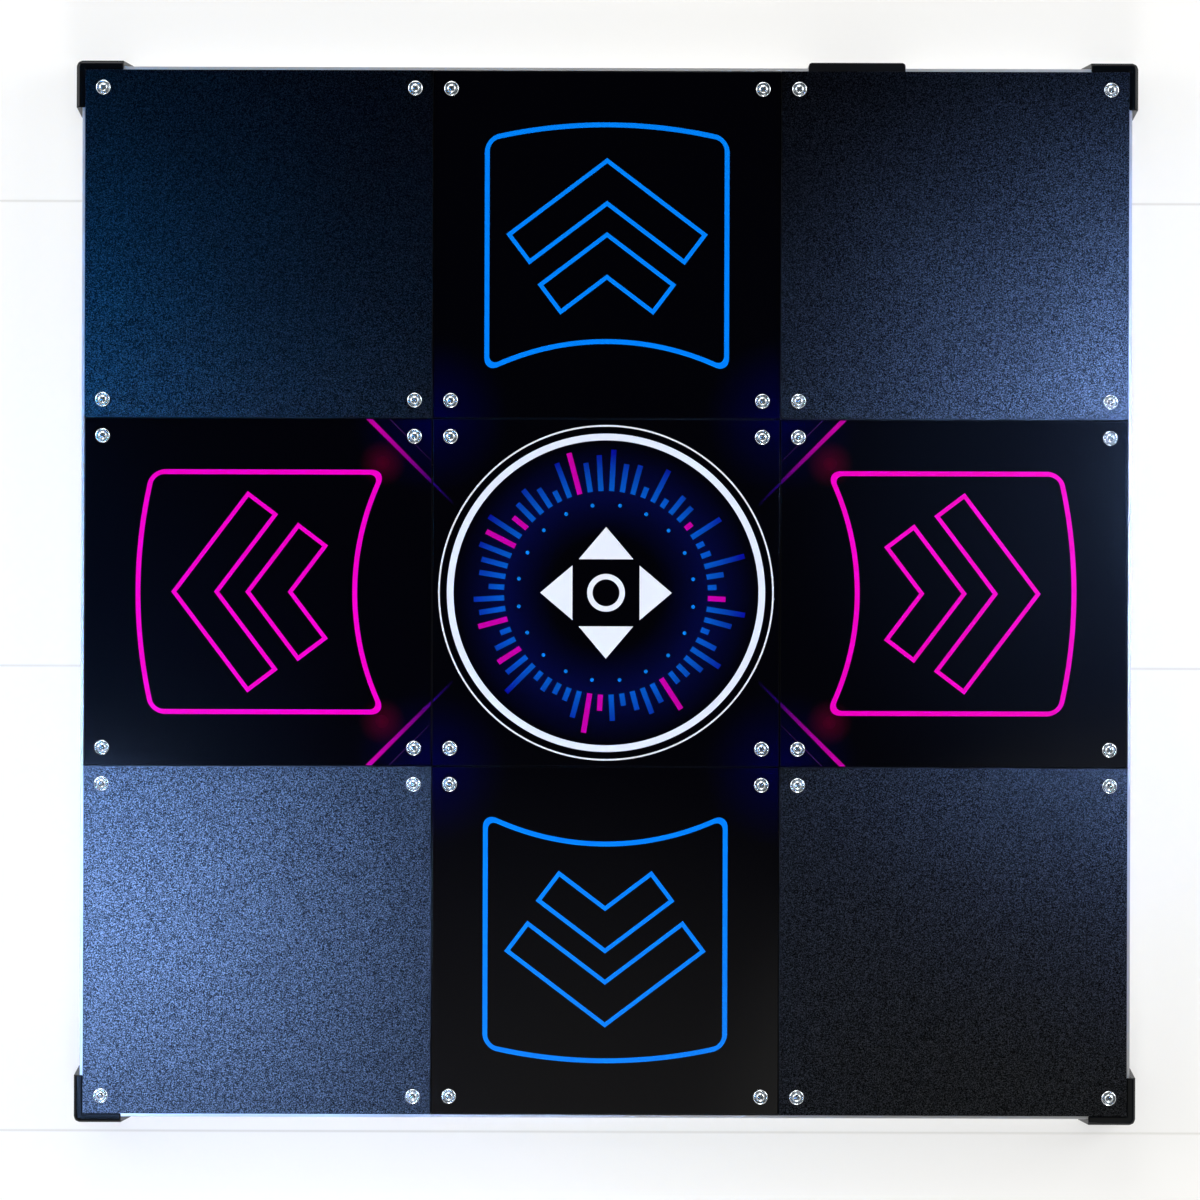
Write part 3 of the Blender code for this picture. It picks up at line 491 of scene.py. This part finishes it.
# the arrow print, in mm from the middle of its panel, with the arrow pointing along plus Y
arrowPrint = {
    "frame": {"half": 96.5, "head": 96.6, "headRadius": 406, "tail": -77.8, "tailRadius": 215, "corner": 9.5,
              "width": 3.9},
    "slope": math.radians(37.1),
    "chevrons": ((40.35, 13.72, 57.9), (-7.05, 13.6, 62.15)),  # middle, half width and end of the arms
    "width": 3.3,
}
streaks = {"from": 228.5, "half": 1.7, "thin": 245, "thinHalf": 0.45, "glow": (104, -100), "glowRadius": 20,
           "fadeLength": 100}
jointGlow = {"at": 0.142, "radius": 0.066, "fall": 1.6, "colour": (0, 0, 46)}
sheetBlack = (1, 1, 4)
diagonalScale = 0.707  # turns a difference of u and v into millimetres across a streak


def cornerGlow(paint, under):
    # a faint blue light where the corners of the middle panel meet
    x, y, z = paint.axes(paint.spot)
    away = paint.length(abs(x) - jointGlow["at"], abs(y) - jointGlow["at"])
    glow = paint.limited(1 - away / jointGlow["radius"]) ** jointGlow["fall"]
    return paint.mix(glow, under, tone(*jointGlow["colour"]))


def glossySheet(paint, colour):
    hair = paint.noise(90, 3, 0.6, paint.placed(scale=(1, 14, 1)))
    haze = paint.noise(16, 3)
    paint.shade({
        "Base Color": colour,
        "Roughness": sheet["gloss"] + haze * 0.02 + paint.limited(hair - 0.62) * 0.15,
        "Normal": paint.bump(paint.noise(22, 1), 0.00003, 0.4),
    })
    return paint


def arrowLook(name):
    (column, row), turn = arrows[name]
    paint = Paint(name + "_arrow_print", IOR=1.47)
    local = paint.placed((column * pad["pitch"], row * pad["pitch"], 0), turn)
    across, along, up = paint.axes(local)
    u, v = abs(across * 1000), along * 1000
    shape = arrowPrint["frame"]
    head = paint.length(u, v - (shape["head"] - shape["headRadius"])) - shape["headRadius"]
    tail = shape["tailRadius"] - paint.length(u, v - (shape["tail"] - shape["tailRadius"]))
    side = u - shape["half"] + shape["corner"]
    ends = paint.most(head, tail) + shape["corner"]
    outer = paint.length(paint.most(side, 0), paint.most(ends, 0))
    border = outer + paint.least(paint.most(side, ends), 0) - shape["corner"]
    line = abs(border) - shape["width"] / 2
    reach = v * math.cos(arrowPrint["slope"]) + u * math.sin(arrowPrint["slope"])
    run = u * math.cos(arrowPrint["slope"]) - v * math.sin(arrowPrint["slope"])
    for middle, half, end in arrowPrint["chevrons"]:
        chevron = paint.most(abs(reach - middle) - half, run - end)
        line = paint.least(line, abs(chevron) - arrowPrint["width"] / 2)
    colour = cornerGlow(paint, tone(*sheetBlack))
    if column:
        colour = sideStreaks(paint, colour, u, v)
    ink = pad["magenta"] if column else pad["blue"]
    cloud = paint.noise(60, 2)
    inked = paint.mix(cloud, tone(*[value * 0.95 for value in ink]), tone(*ink))
    return glossySheet(paint, paint.mix(paint.inside(line), colour, inked))


def sideStreaks(paint, colour, u, v):
    # crossing the inner corners of the left and right panels
    diagonal, travel = u - v, u + v
    away = paint.length(u - streaks["glow"][0], v - streaks["glow"][1])
    glow = paint.limited(1 - away / streaks["glowRadius"])
    colour = paint.mix(glow ** 1.5, colour, tone(62, 0, 24))
    fade = paint.limited(travel / streaks["fadeLength"] + 0.5)
    thin = paint.inside((abs(diagonal - streaks["thin"]) - streaks["thinHalf"]) * diagonalScale, 0.6)
    colour = paint.mix(thin * fade * 0.6, colour, tone(84, 40, 104))
    width = streaks["half"] * (fade * 0.33 + 0.72)
    thick = paint.inside(abs(diagonal - streaks["from"]) * diagonalScale - width, 0.8)
    return paint.mix(thick, colour, paint.mix(fade, tone(52, 0, 92), tone(200, 0, 152)))


for name, ((column, row), turn) in arrows.items():
    form = drilledSlab(column, row, sheet)
    tops.append(finish(name + "_sheet", form, arrowLook(name), [name + "_panel"], body=name + "_pad"))
print("arrow panels made")


# middle panel: a double ring round a plain four-way sign and a circle of bars

middlePrint = {
    # in mm; a ring or streak has its middle and half width
    "outerRing": (134.4, 0.65), "ring": (125.4, 2.7), "ringColour": (222, 226, 240),
    "haze": 84, "hazeWidth": 40,
    "bars": 60, "barFrom": 82, "barShort": 5, "barLong": 30, "barHalf": 2.1, "magentaFrom": 0.84,
    "dots": 20, "dotsAt": 71, "dotHalf": 1.5,
    "arrowTip": 53, "arrowBase": 27, "arrowHalf": 22, "hub": 13, "hubHalf": 2.2, "white": (228, 229, 234),
    "streak": (51.5, 1.2), "streakEnd": 131, "streakFade": 17,
}


def middleLook():
    look = middlePrint
    paint = Paint("middle_print", IOR=1.47)
    x, y, z = paint.axes(paint.spot)
    x, y = x * 1000, y * 1000
    radius = paint.length(x, y)
    angle = paint.maths("ARCTAN2", y, x)
    colour = cornerGlow(paint, tone(*sheetBlack))
    haze = paint.limited(1 - abs(radius - look["haze"]) / look["hazeWidth"])
    colour = paint.mix(haze ** 1.5, colour, tone(3, 6, 52))
    # bars of chance lengths, some of them magenta
    cell, sideways = paint.around(angle, radius, look["bars"])
    reach = paint.chance(cell) * look["barLong"] + look["barShort"]
    bar = paint.most(abs(sideways) - look["barHalf"], abs(radius - look["barFrom"] - reach / 2) - reach / 2)
    pick = paint.chance(cell + 211.5)
    outwards = paint.limited((radius - look["barFrom"]) / look["barLong"])
    blue = paint.mix(outwards, tone(4, 84, 176), tone(6, 12, 132))
    magenta = paint.inside(look["magentaFrom"] - pick, 0.001)
    colour = paint.mix(paint.inside(bar), colour, paint.mix(magenta, blue, tone(190, 0, 150)))
    # dots
    cell, sideways = paint.around(angle, radius, look["dots"])
    dot = paint.length(sideways, radius - look["dotsAt"]) - look["dotHalf"]
    colour = paint.mix(paint.inside(dot), colour, tone(10, 120, 214))
    # four arrow heads and a hub
    far, near = paint.most(abs(x), abs(y)), paint.least(abs(x), abs(y))
    drop = (look["arrowTip"] - look["arrowBase"]) / look["arrowHalf"]
    slant = math.hypot(1, drop)
    head = paint.most(look["arrowBase"] - far, (near * drop + far - look["arrowTip"]) / slant)
    sign = paint.least(head, abs(radius - look["hub"]) - look["hubHalf"])
    colour = paint.mix(paint.inside(sign), colour, tone(*look["white"]))
    for (middle, half), ink in ((look["ring"], look["ringColour"]), (look["outerRing"], look["white"])):
        colour = paint.mix(paint.inside(abs(radius - middle) - half), colour, tone(*ink))
    middle, half = look["streak"]
    streak = paint.inside((abs(abs(x) - abs(y) - middle) - half) * diagonalScale, 0.8)
    streak = streak * paint.inside(look["streakEnd"] - abs(x), look["streakFade"])
    colour = paint.mix(streak * 0.7, colour, tone(40, 2, 104))
    return glossySheet(paint, colour)


form = drilledSlab(0, 0, sheet)
tops.append(finish("middle_sheet", form, middleLook(), ["centre_panel"]))
shareSoftboxes(tops)
print("middle panel made")


# screws: zinc-plated, with a collar, a domed head and a cross recess

screw = {
    "head": [(0, 2.7), (1.2, 2.64), (2.1, 2.44), (2.8, 2.08), (3.25, 1.68), (3.5, 1.3), (3.6, 1.0),
             (3.65, 0.55), (4.2, 0.5), (4.3, 0.84), (4.5, 1.0), (4.9, 1.06), (5.35, 0.9), (5.7, 0.62),
             (5.88, 0.34), (5.88, 0.12), (5.76, 0.0)],
    "top": 2.7, "groove": (3.55, 4.3), "sunkWithin": 2.25,
    # one turn of the thread as (radius, depth) points
    "thread": [(1.55, 0.2), (1.55, 0.7), (2.0, 1.15), (1.55, 1.5)],
    "neck": 1.9, "smooth": 7.0, "tip": (1.24, 1.6), "tipLength": 3.0,
    "slotSpan": 4.3, "slotWidth": 1.1, "slotDepth": 1.3, "bottom": 0.0124,
}
# the height each screw's collar lies at: on the middle sheet, on a risen arrow sheet, on a plate
seats = {"middle": sheet["top"], "arrow": 0.0320, "plate": cornerPlate["top"]}


def zincFinish():
    paint = Paint("bright_zinc", Metallic=1.0)
    x, y, z = paint.axes(paint.spot)
    mottle = paint.noise(500, 3, 0.6)
    paint.shade({
        "Base Color": paint.mix(mottle, tone(190, 200, 206), tone(236, 239, 240)),
        "Roughness": 0.2 + mottle * 0.12,
        "Normal": paint.bump(paint.noise(2600, 1), 0.00004, 0.5),
    })
    return paint


def shadedZincFinish(name, darkest, lightest):
    # darker zinc standing in for shade: painted shade in the screws' groove and cross recess, and painted
    # shadow on the rails' side screws
    paint = Paint(name, Metallic=1.0)
    mottle = paint.noise(900, 3, 0.6)
    paint.shade({
        "Base Color": paint.mix(mottle, tone(*darkest), tone(*lightest)),
        "Roughness": 0.42 + mottle * 0.2,
    })
    return paint


def crossTool(top, span, width, depth):
    # one arm of the recess, narrower towards its floor
    form = slabForm((-span / 2, -width / 2, top - depth), (span / 2, width / 2, top + 1))
    for vert in form.verts:
        if vert.co.z < top:
            vert.co.x *= 0.5
            vert.co.y *= 0.6
    return form


def scaled(form, factor=mm):
    bmesh.ops.scale(form, vec=(factor,) * 3, verts=form.verts)
    return form


def withCross(form, top, span, width, depth):
    quarter = Matrix.Rotation(math.pi / 2, 4, "Z")
    arm = crossTool(top, span, width, depth)
    other = settled(arm, quarter)
    return carved(form, arm, other)


def screwForm(seat):
    length = (seat - screw["bottom"]) / mm
    profile = screw["head"] + [(screw["neck"], 0.0), (screw["neck"], -screw["smooth"])]
    depth, pitch = screw["smooth"], screw["thread"][-1][1]
    while depth + pitch < length - screw["tipLength"]:
        profile += [(radius, -depth - down) for radius, down in screw["thread"]]
        depth += pitch
    radius, up = screw["tip"]
    profile += [(radius, up - length), (0, -length)]
    form = withCross(turned(profile), screw["top"], screw["slotSpan"], screw["slotWidth"], screw["slotDepth"])
    # faces in the groove and the cross recess take the second, darker zinc: painted shade in the hollows
    low, high = screw["groove"]
    for face in form.faces:
        middle = face.calc_center_median()
        away = math.hypot(middle.x, middle.y)
        grooved = low < away < high and middle.z > 0.2 and (abs(face.normal.z) < 0.5 or middle.z < 0.8)
        dome = screw["top"] - 0.14 - 0.035 * away ** 2  # just under the head's outside
        sunk = away < screw["sunkWithin"] and 0.5 < middle.z < dome
        face.material_index = 1 if grooved or sunk else 0
    return scaled(form)


zinc = zincFinish()
# darker zinc as painted shade in the screws' grooves and recesses
recessShadeZinc = shadedZincFinish("painted_shade_zinc", (132, 146, 156), (184, 194, 200))
# dark zinc as painted shadow on the rails' side screws, standing in for the shadow round their heads
sideScrewShadowZinc = shadedZincFinish("painted_shadow_zinc", (34, 48, 60), (78, 96, 110))
chance = random.Random(7)


masters = {kind: screwForm(seat) for kind, seat in seats.items()}


def screwAt(kind, column, row, sx, sy):
    # a screw at one corner of a panel, turned by chance
    place = [cell * pad["pitch"] + side * pad["screwAt"] for cell, side in ((column, sx), (row, sy))]
    turn = Matrix.Rotation(chance.uniform(0, math.pi / 2), 4, "Z")
    return settled(masters[kind], Matrix.Translation((*place, seats[kind])) @ turn)


for name, ((column, row), turn) in arrows.items():
    for corner, (sx, sy) in corners.items():
        finish(name + "_stud_" + corner, screwAt("arrow", column, row, sx, sy), zinc,
               [name + "_screw_" + corner], second=recessShadeZinc)
fixed = {corner + "_plate_screws": ("plate", sx, sy) for corner, (sx, sy) in corners.items()}
fixed["middle_sheet_screws"] = ("middle", 0, 0)
for name, spot in fixed.items():
    group = [screwAt(*spot, sx, sy) for sx, sy in corners.values()]
    finish(name, joined(group), zinc, second=recessShadeZinc)
print("screws made")


# edge rails: brushed, anodised angles, mitred at the corners

rail = {
    "inner": 0.4203, "outer": 0.4227, "low": 0.0015, "top": 0.0300, "flange": 0.018, "flangeTop": 0.0030,
    "grooves": (0.0062, 0.0246), "grooveHalf": 0.00045, "grooveDepth": 0.0004, "edge": 0.00035,
    "cutFrom": 0.43, "screwAt": 0.14, "screwHeight": 0.0123,
    "notchLow": (0.1617, 0.415, 0.0063), "notchHigh": (0.2403, 0.43, 0.04),
    # the cone that a flush screw lies in: its radii and depth, and how deep its middle is
    "cone": (0.0020, 0.0038, 0.0018), "coneMiddle": 0.0008,
}
# side screws in mm: half outlines of their heads, and where the cross recess starts
sideHeads = {
    "flush": [(0, -0.1), (2.6, -0.1), (3.1, -0.15), (3.2, -0.3), (1.75, -1.55), (1.55, -2.2)],
    "domed": [(0, 1.6), (1.2, 1.55), (2.2, 1.36), (2.9, 1.02), (3.3, 0.6), (3.45, 0.2), (3.4, 0.0),
              (1.55, 0.0)],
}
sideShank = [(1.55, -12.5), (0, -13.9)]
sideCross = (3.6, 0.95, 1.0)  # span, width, depth
quarters = {"rear": 0, "left": 90, "front": 180, "right": -90}


def railFinish():
    # the brushing runs along X on the rear and front rails and along Y on the others
    looks = {}
    for name, stretch in (("rail_along_x", (30, 1, 1)), ("rail_along_y", (1, 30, 1))):
        paint = Paint(name, Metallic=0.45)
        brush = paint.noise(700, 3, 0.65, paint.placed(scale=stretch))
        cloud = paint.noise(14, 3)
        paint.shade({
            "Base Color": paint.mix(cloud, tone(190, 191, 192), tone(210, 210, 210)),
            "Roughness": 0.3 + brush * 0.14,
            "Normal": paint.bump(brush, 0.00004, 0.6),
        })
        looks[name] = paint
    return looks


def railForm(notched):
    y, z = rail["outer"], rail["flangeTop"]
    outline = [(y - rail["flange"], rail["low"]), (y, rail["low"])]
    for height in rail["grooves"]:
        half, deep = rail["grooveHalf"], y - rail["grooveDepth"]
        outline += [(y, height - half), (deep, height - half * 0.5)]
        outline += [(deep, height + half * 0.5), (y, height + half)]
    outline += [(y, rail["top"]), (rail["inner"], rail["top"]), (rail["inner"], z), (y - rail["flange"], z)]
    form = bmesh.new()
    face = form.faces.new([form.verts.new((-rail["cutFrom"], *point)) for point in outline])
    grown = bmesh.ops.extrude_face_region(form, geom=[face])["geom"]
    far = [item for item in grown if isinstance(item, bmesh.types.BMVert)]
    bmesh.ops.translate(form, vec=(rail["cutFrom"] * 2, 0, 0), verts=far)
    bmesh.ops.recalc_face_normals(form, faces=form.faces)
    for side in (1, -1):
        normal = Vector((side, -1, 0)).normalized()
        point = Vector((side * y, y, 0)) - normal * 0.00015
        cut = bmesh.ops.bisect_plane(form, geom=form.verts[:] + form.edges[:] + form.faces[:], plane_co=point,
                                     plane_no=normal, clear_outer=True)
        rim = [item for item in cut["geom_cut"] if isinstance(item, bmesh.types.BMEdge)]
        bmesh.ops.edgeloop_fill(form, edges=rim)
    bmesh.ops.recalc_face_normals(form, faces=form.faces)
    if notched:
        form = carved(form, slabForm(rail["notchLow"], rail["notchHigh"]),
                      *[sunkTool(side * rail["screwAt"]) for side in (1, -1)])
    soften(form, rail["edge"], 2, angle=60)
    return form


def railPlace(x, depth=0):
    # a spot on the rear rail's side, with Z turned outwards
    spot = Matrix.Translation((x, rail["outer"] - depth, rail["screwHeight"]))
    return spot @ Matrix.Rotation(-math.pi / 2, 4, "X")


def sunkTool(x):
    form = bmesh.new()
    inner, outer, depth = rail["cone"]
    bmesh.ops.create_cone(form, cap_ends=True, segments=36, radius1=inner, radius2=outer, depth=depth,
                          matrix=railPlace(x, rail["coneMiddle"]))
    return form


def sideScrew(kind):
    head = sideHeads[kind]
    return scaled(withCross(turned(head + sideShank, 32), head[0][1], *sideCross))


railLooks = railFinish()
for name, turn in quarters.items():
    spin = Matrix.Rotation(math.radians(turn), 4, "Z")
    form = railForm(name == "rear")
    bmesh.ops.transform(form, matrix=spin, verts=form.verts)
    look = railLooks["rail_along_x" if name in ("rear", "front") else "rail_along_y"]
    finish(name + "_edge_rail", form, look, ["rail_" + name])
    kind = "flush" if name == "rear" else "domed"
    group = [settled(sideScrew(kind), spin @ railPlace(side * rail["screwAt"])) for side in (-1, 1)]
    # the side screws take the dark zinc: painted shadow round their heads
    finish(name + "_rail_screws", joined(group), sideScrewShadowZinc)
print("rails made")


# corner guards: moulded black angles

guard = {"round": 0.0011, "grain": 900}


def mergedCopy(node):
    # a copy of a CAD node's mesh, merged back to plain faces
    form = bmesh.new()
    form.from_mesh(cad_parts[node].data)
    bmesh.ops.remove_doubles(form, verts=form.verts, dist=1e-6)
    bmesh.ops.dissolve_limit(form, angle_limit=math.radians(0.5), verts=form.verts, edges=form.edges)
    return form


def mouldedFinish(name, colour, roughness, grain, depth, shine=0.5):
    paint = Paint(name, Specular_IOR_Level=shine)
    skin = paint.noise(grain, 2, 0.6)
    cloud = paint.noise(18, 3)
    paint.shade({
        "Base Color": paint.mix(cloud, tone(*colour), tone(*[value + 5 for value in colour])),
        "Roughness": roughness + skin * 0.08 + cloud * 0.03,
        "Normal": paint.bump(skin, depth, 0.6),
    })
    return paint


guardLook = mouldedFinish("satin_guard_plastic", (3, 5, 8), 0.1, guard["grain"], 0.00001, 0.15)
for corner in corners:
    form = mergedCopy("guard_" + corner)
    soften(form, guard["round"], 3, angle=20)
    finish(corner + "_guard", form, guardLook, ["guard_" + corner])
print("guards made")


# controller housing, with its lid, circuit and cable socket

housing = {"round": 0.0004}
socket = {"low": (0.1965, 0.4134, 0.0128), "high": (0.2055, 0.4208, 0.0161), "wall": 0.0003, "back": 0.0012,
          "past": 0.002, "round": 0.0015, "mouthRound": 0.0012}
tongue = {"low": (0.1977, 0.4147, 0.01412), "high": (0.2043, 0.4199, 0.01478), "round": 0.00012,
          "stripPitch": 0.0005, "stripHalf": 0.24, "stripEnd": 0.4158}

housingLook = mouldedFinish("housing_plastic", (4, 4, 6), 0.34, 1100, 0.00008, 0.2)
form = mergedCopy("controller_housing")
soften(form, housing["round"], 2, angle=40)
finish("controller_box", form, housingLook, ["controller_housing"])
coat(housingLook, "housing_lid")


def socketForm():
    # a flat-oval metal shell, open at the rear
    low, high, wall = Vector(socket["low"]), Vector(socket["high"]), socket["wall"]
    shell = slabForm(low, high)
    lengthwise = lambda edge: abs((edge.verts[0].co - edge.verts[1].co).normalized().y) > 0.9
    soften(shell, socket["round"], 6, chosen=lengthwise)
    back, front = Vector((wall, socket["back"], wall)), Vector((-wall, socket["past"], -wall))
    mouth = slabForm(low + back, high + front)
    soften(mouth, socket["mouthRound"], 6, chosen=lengthwise)
    return carved(shell, mouth)


steel = Paint("plated_steel", Metallic=1.0)
plating = steel.noise(900, 2)
steel.shade({
    "Base Color": steel.mix(plating, tone(188, 190, 194), tone(208, 209, 212)),
    "Roughness": 0.22 + plating * 0.1,
    "Normal": steel.bump(plating, 0.00002, 0.5),
})
finish("cable_socket", socketForm(), steel, ["usb_socket"])


def tongueLook():
    # black plastic with gold strips
    paint = Paint("socket_tongue", Metallic=0.0)
    x, y, z = paint.axes(paint.spot)
    stripe = paint.maths("FRACT", x / tongue["stripPitch"])
    strip = paint.inside(abs(stripe - 0.5) - tongue["stripHalf"], 0.05)
    strip = strip * paint.inside(tongue["stripEnd"] - y, 0.0001)
    paint.shade({
        "Base Color": paint.mix(strip, tone(18, 18, 20), tone(214, 170, 84)),
        "Metallic": strip,
        "Roughness": 0.4 - strip * 0.15,
    })
    return paint


form = slabForm(tongue["low"], tongue["high"])
soften(form, tongue["round"], 2)
finish("cable_socket_tongue", form, tongueLook())
chipFrom = 0.0130  # the height above which the circuit board node is its chip and header


def circuitLook():
    # green lacquer over copper tracks, with a matt dark chip standing on it
    paint = Paint("green_circuit")
    x, y, z = paint.axes(paint.spot)
    tracks = paint.cells(260, "DISTANCE_TO_EDGE")
    pads = paint.cells(420)
    copper = paint.inside(tracks - 0.06, 0.02)
    board = paint.mix(copper, tone(8, 78, 42), tone(24, 112, 62))
    board = paint.mix(paint.inside(pads - 0.14, 0.03), board, tone(206, 196, 160))
    raised = paint.inside(chipFrom - z, 0.0001)
    paint.shade({
        "Base Color": paint.mix(raised, board, tone(22, 22, 24)),
        "Roughness": 0.35 + raised * 0.3,
        "Normal": paint.bump(tracks, 0.00005, 0.4),
    })
    return paint


coat(circuitLook(), "circuit_board")
print("housing made")


# feet: ribbed rubber discs

foot = {
    # half outline in mm, ribs down
    "profile": [(0, 0.7), (3.2, 0.7), (3.5, 0.15), (3.9, 0.0), (4.7, 0.0), (5.1, 0.15), (5.4, 0.7),
                (7.0, 0.7), (7.3, 0.15), (7.7, 0.0), (8.5, 0.0), (8.9, 0.15), (9.2, 0.7), (10.8, 0.7),
                (11.1, 0.15), (11.5, 0.0), (13.6, 0.0), (14.4, 0.3), (14.8, 0.9), (14.9, 1.6),
                (14.6, 2.6), (14.2, 3.0), (0, 3.0)],
}
rubber = mouldedFinish("foot_rubber", (24, 24, 25), 0.62, 420, 0.00012)
footMaster = scaled(turned(foot["profile"], 48))
for name in [*("foot_" + corner for corner in corners), "foot_centre"]:
    low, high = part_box(name)
    place = Matrix.Translation(((low.x + high.x) / 2, (low.y + high.y) / 2, 0))
    finish(name.replace("foot", "rubber_foot"), settled(footMaster, place), rubber, [name])
print("feet made")


# foam gaskets: soft strips round each arrow panel, built in their unsqueezed shape

gasket = {"outer": 0.1375, "inner": 0.1290, "low": 0.0216, "top": 0.0254, "round": 0.0011, "press": 0.0015}
foam = Paint("closed_cell_foam")
bubbles = foam.cells(1300, "SMOOTH_F1")
foam.shade({
    "Base Color": foam.mix(bubbles, tone(34, 35, 38), tone(74, 76, 80)),
    "Roughness": 0.85 + bubbles * 0.1,
    "Normal": foam.bump(bubbles, 0.0003, 0.8),
})
for name, ((column, row), turn) in arrows.items():
    x, y = column * pad["pitch"], row * pad["pitch"]
    outer, inner = gasket["outer"], gasket["inner"]
    form = carved(slabForm((x - outer, y - outer, gasket["low"]), (x + outer, y + outer, gasket["top"])),
                  slabForm((x - inner, y - inner, 0), (x + inner, y + inner, 0.1)))
    soften(form, gasket["round"], 4, angle=60)
    strip = finish(name + "_foam_strip", form, foam, [name + "_foam_gasket"])
    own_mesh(strip)
print("gaskets made")


# the boards, contacts and leads keep their CAD shapes

ply = {"low": 0.0033, "layer": 0.0036, "meshPerMetre": 400}


def plyLook():
    # film on the faces and bare layers of wood at the edges
    paint = Paint("film_faced_plywood")
    x, y, z = paint.axes(paint.spot)
    flat = paint.axes(paint.node("ShaderNodeNewGeometry", output="Normal"))[2]
    face = paint.inside(0.7 - abs(flat), 0.05)
    grain = paint.noise(120, 4, 0.6, paint.placed(scale=(14, 1, 1)))
    layer = paint.maths("FRACT", (z - ply["low"]) / ply["layer"])
    wood = paint.mix(grain, tone(150, 108, 66), tone(196, 156, 106))
    wood = paint.mix(paint.inside(abs(layer - 0.5) * -1 + 0.42, 0.06), wood, tone(96, 62, 36))
    meshX, meshY = (abs(paint.maths("FRACT", axis * ply["meshPerMetre"]) - 0.5) for axis in (x, y))
    mesh = meshX + meshY
    film = paint.mix(grain, tone(10, 9, 9), tone(19, 17, 16))
    paint.shade({
        "Base Color": paint.mix(face, wood, film),
        "Roughness": 0.7 - face * 0.25,
        "Normal": paint.bump(mesh * face + grain * 0.5, 0.0001, 0.6),
    })
    return paint


def fibreLook():
    paint = Paint("pressed_fibreboard")
    fibre = paint.noise(900, 4, 0.7)
    cloud = paint.noise(40, 3)
    paint.shade({
        "Base Color": paint.mix(fibre * 0.7 + cloud * 0.3, tone(116, 84, 56), tone(170, 132, 92)),
        "Roughness": 0.72 + cloud * 0.12,
        "Normal": paint.bump(fibre, 0.00015, 0.5),
    })
    return paint


def contactLook():
    # galvanised sheet with soft spangles and rubbed tracks
    paint = Paint("galvanised_sheet", Metallic=1.0)
    spangle = paint.cells(150, output="Color")
    shine = paint.axes(spangle)[0]
    rub = paint.noise(160, 3, 0.6, paint.placed(scale=(1, 16, 1)))
    paint.shade({
        "Base Color": paint.mix(shine, tone(168, 172, 176), tone(206, 209, 212)),
        "Roughness": 0.28 + shine * 0.14 + rub * 0.08,
        "Normal": paint.bump(rub + shine * 0.3, 0.00003, 0.5),
    })
    return paint


def sleeveLook():
    paint = Paint("black_lead_sleeve")
    ripple = paint.noise(700, 2)
    paint.shade({
        "Base Color": paint.mix(ripple, tone(12, 12, 13), tone(24, 24, 26)),
        "Roughness": 0.36 + ripple * 0.1,
        "Normal": paint.bump(ripple, 0.00005, 0.5),
    })
    return paint


coat(plyLook(), "base_board")
coat(fibreLook(), "centre_packing_board")
contactPaint, sleevePaint = contactLook(), sleeveLook()
for name in arrows:
    coat(contactPaint, name + "_upper_contact", name + "_lower_contact")
    coat(sleevePaint, name + "_lead")
print("inside finished")

low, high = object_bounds()
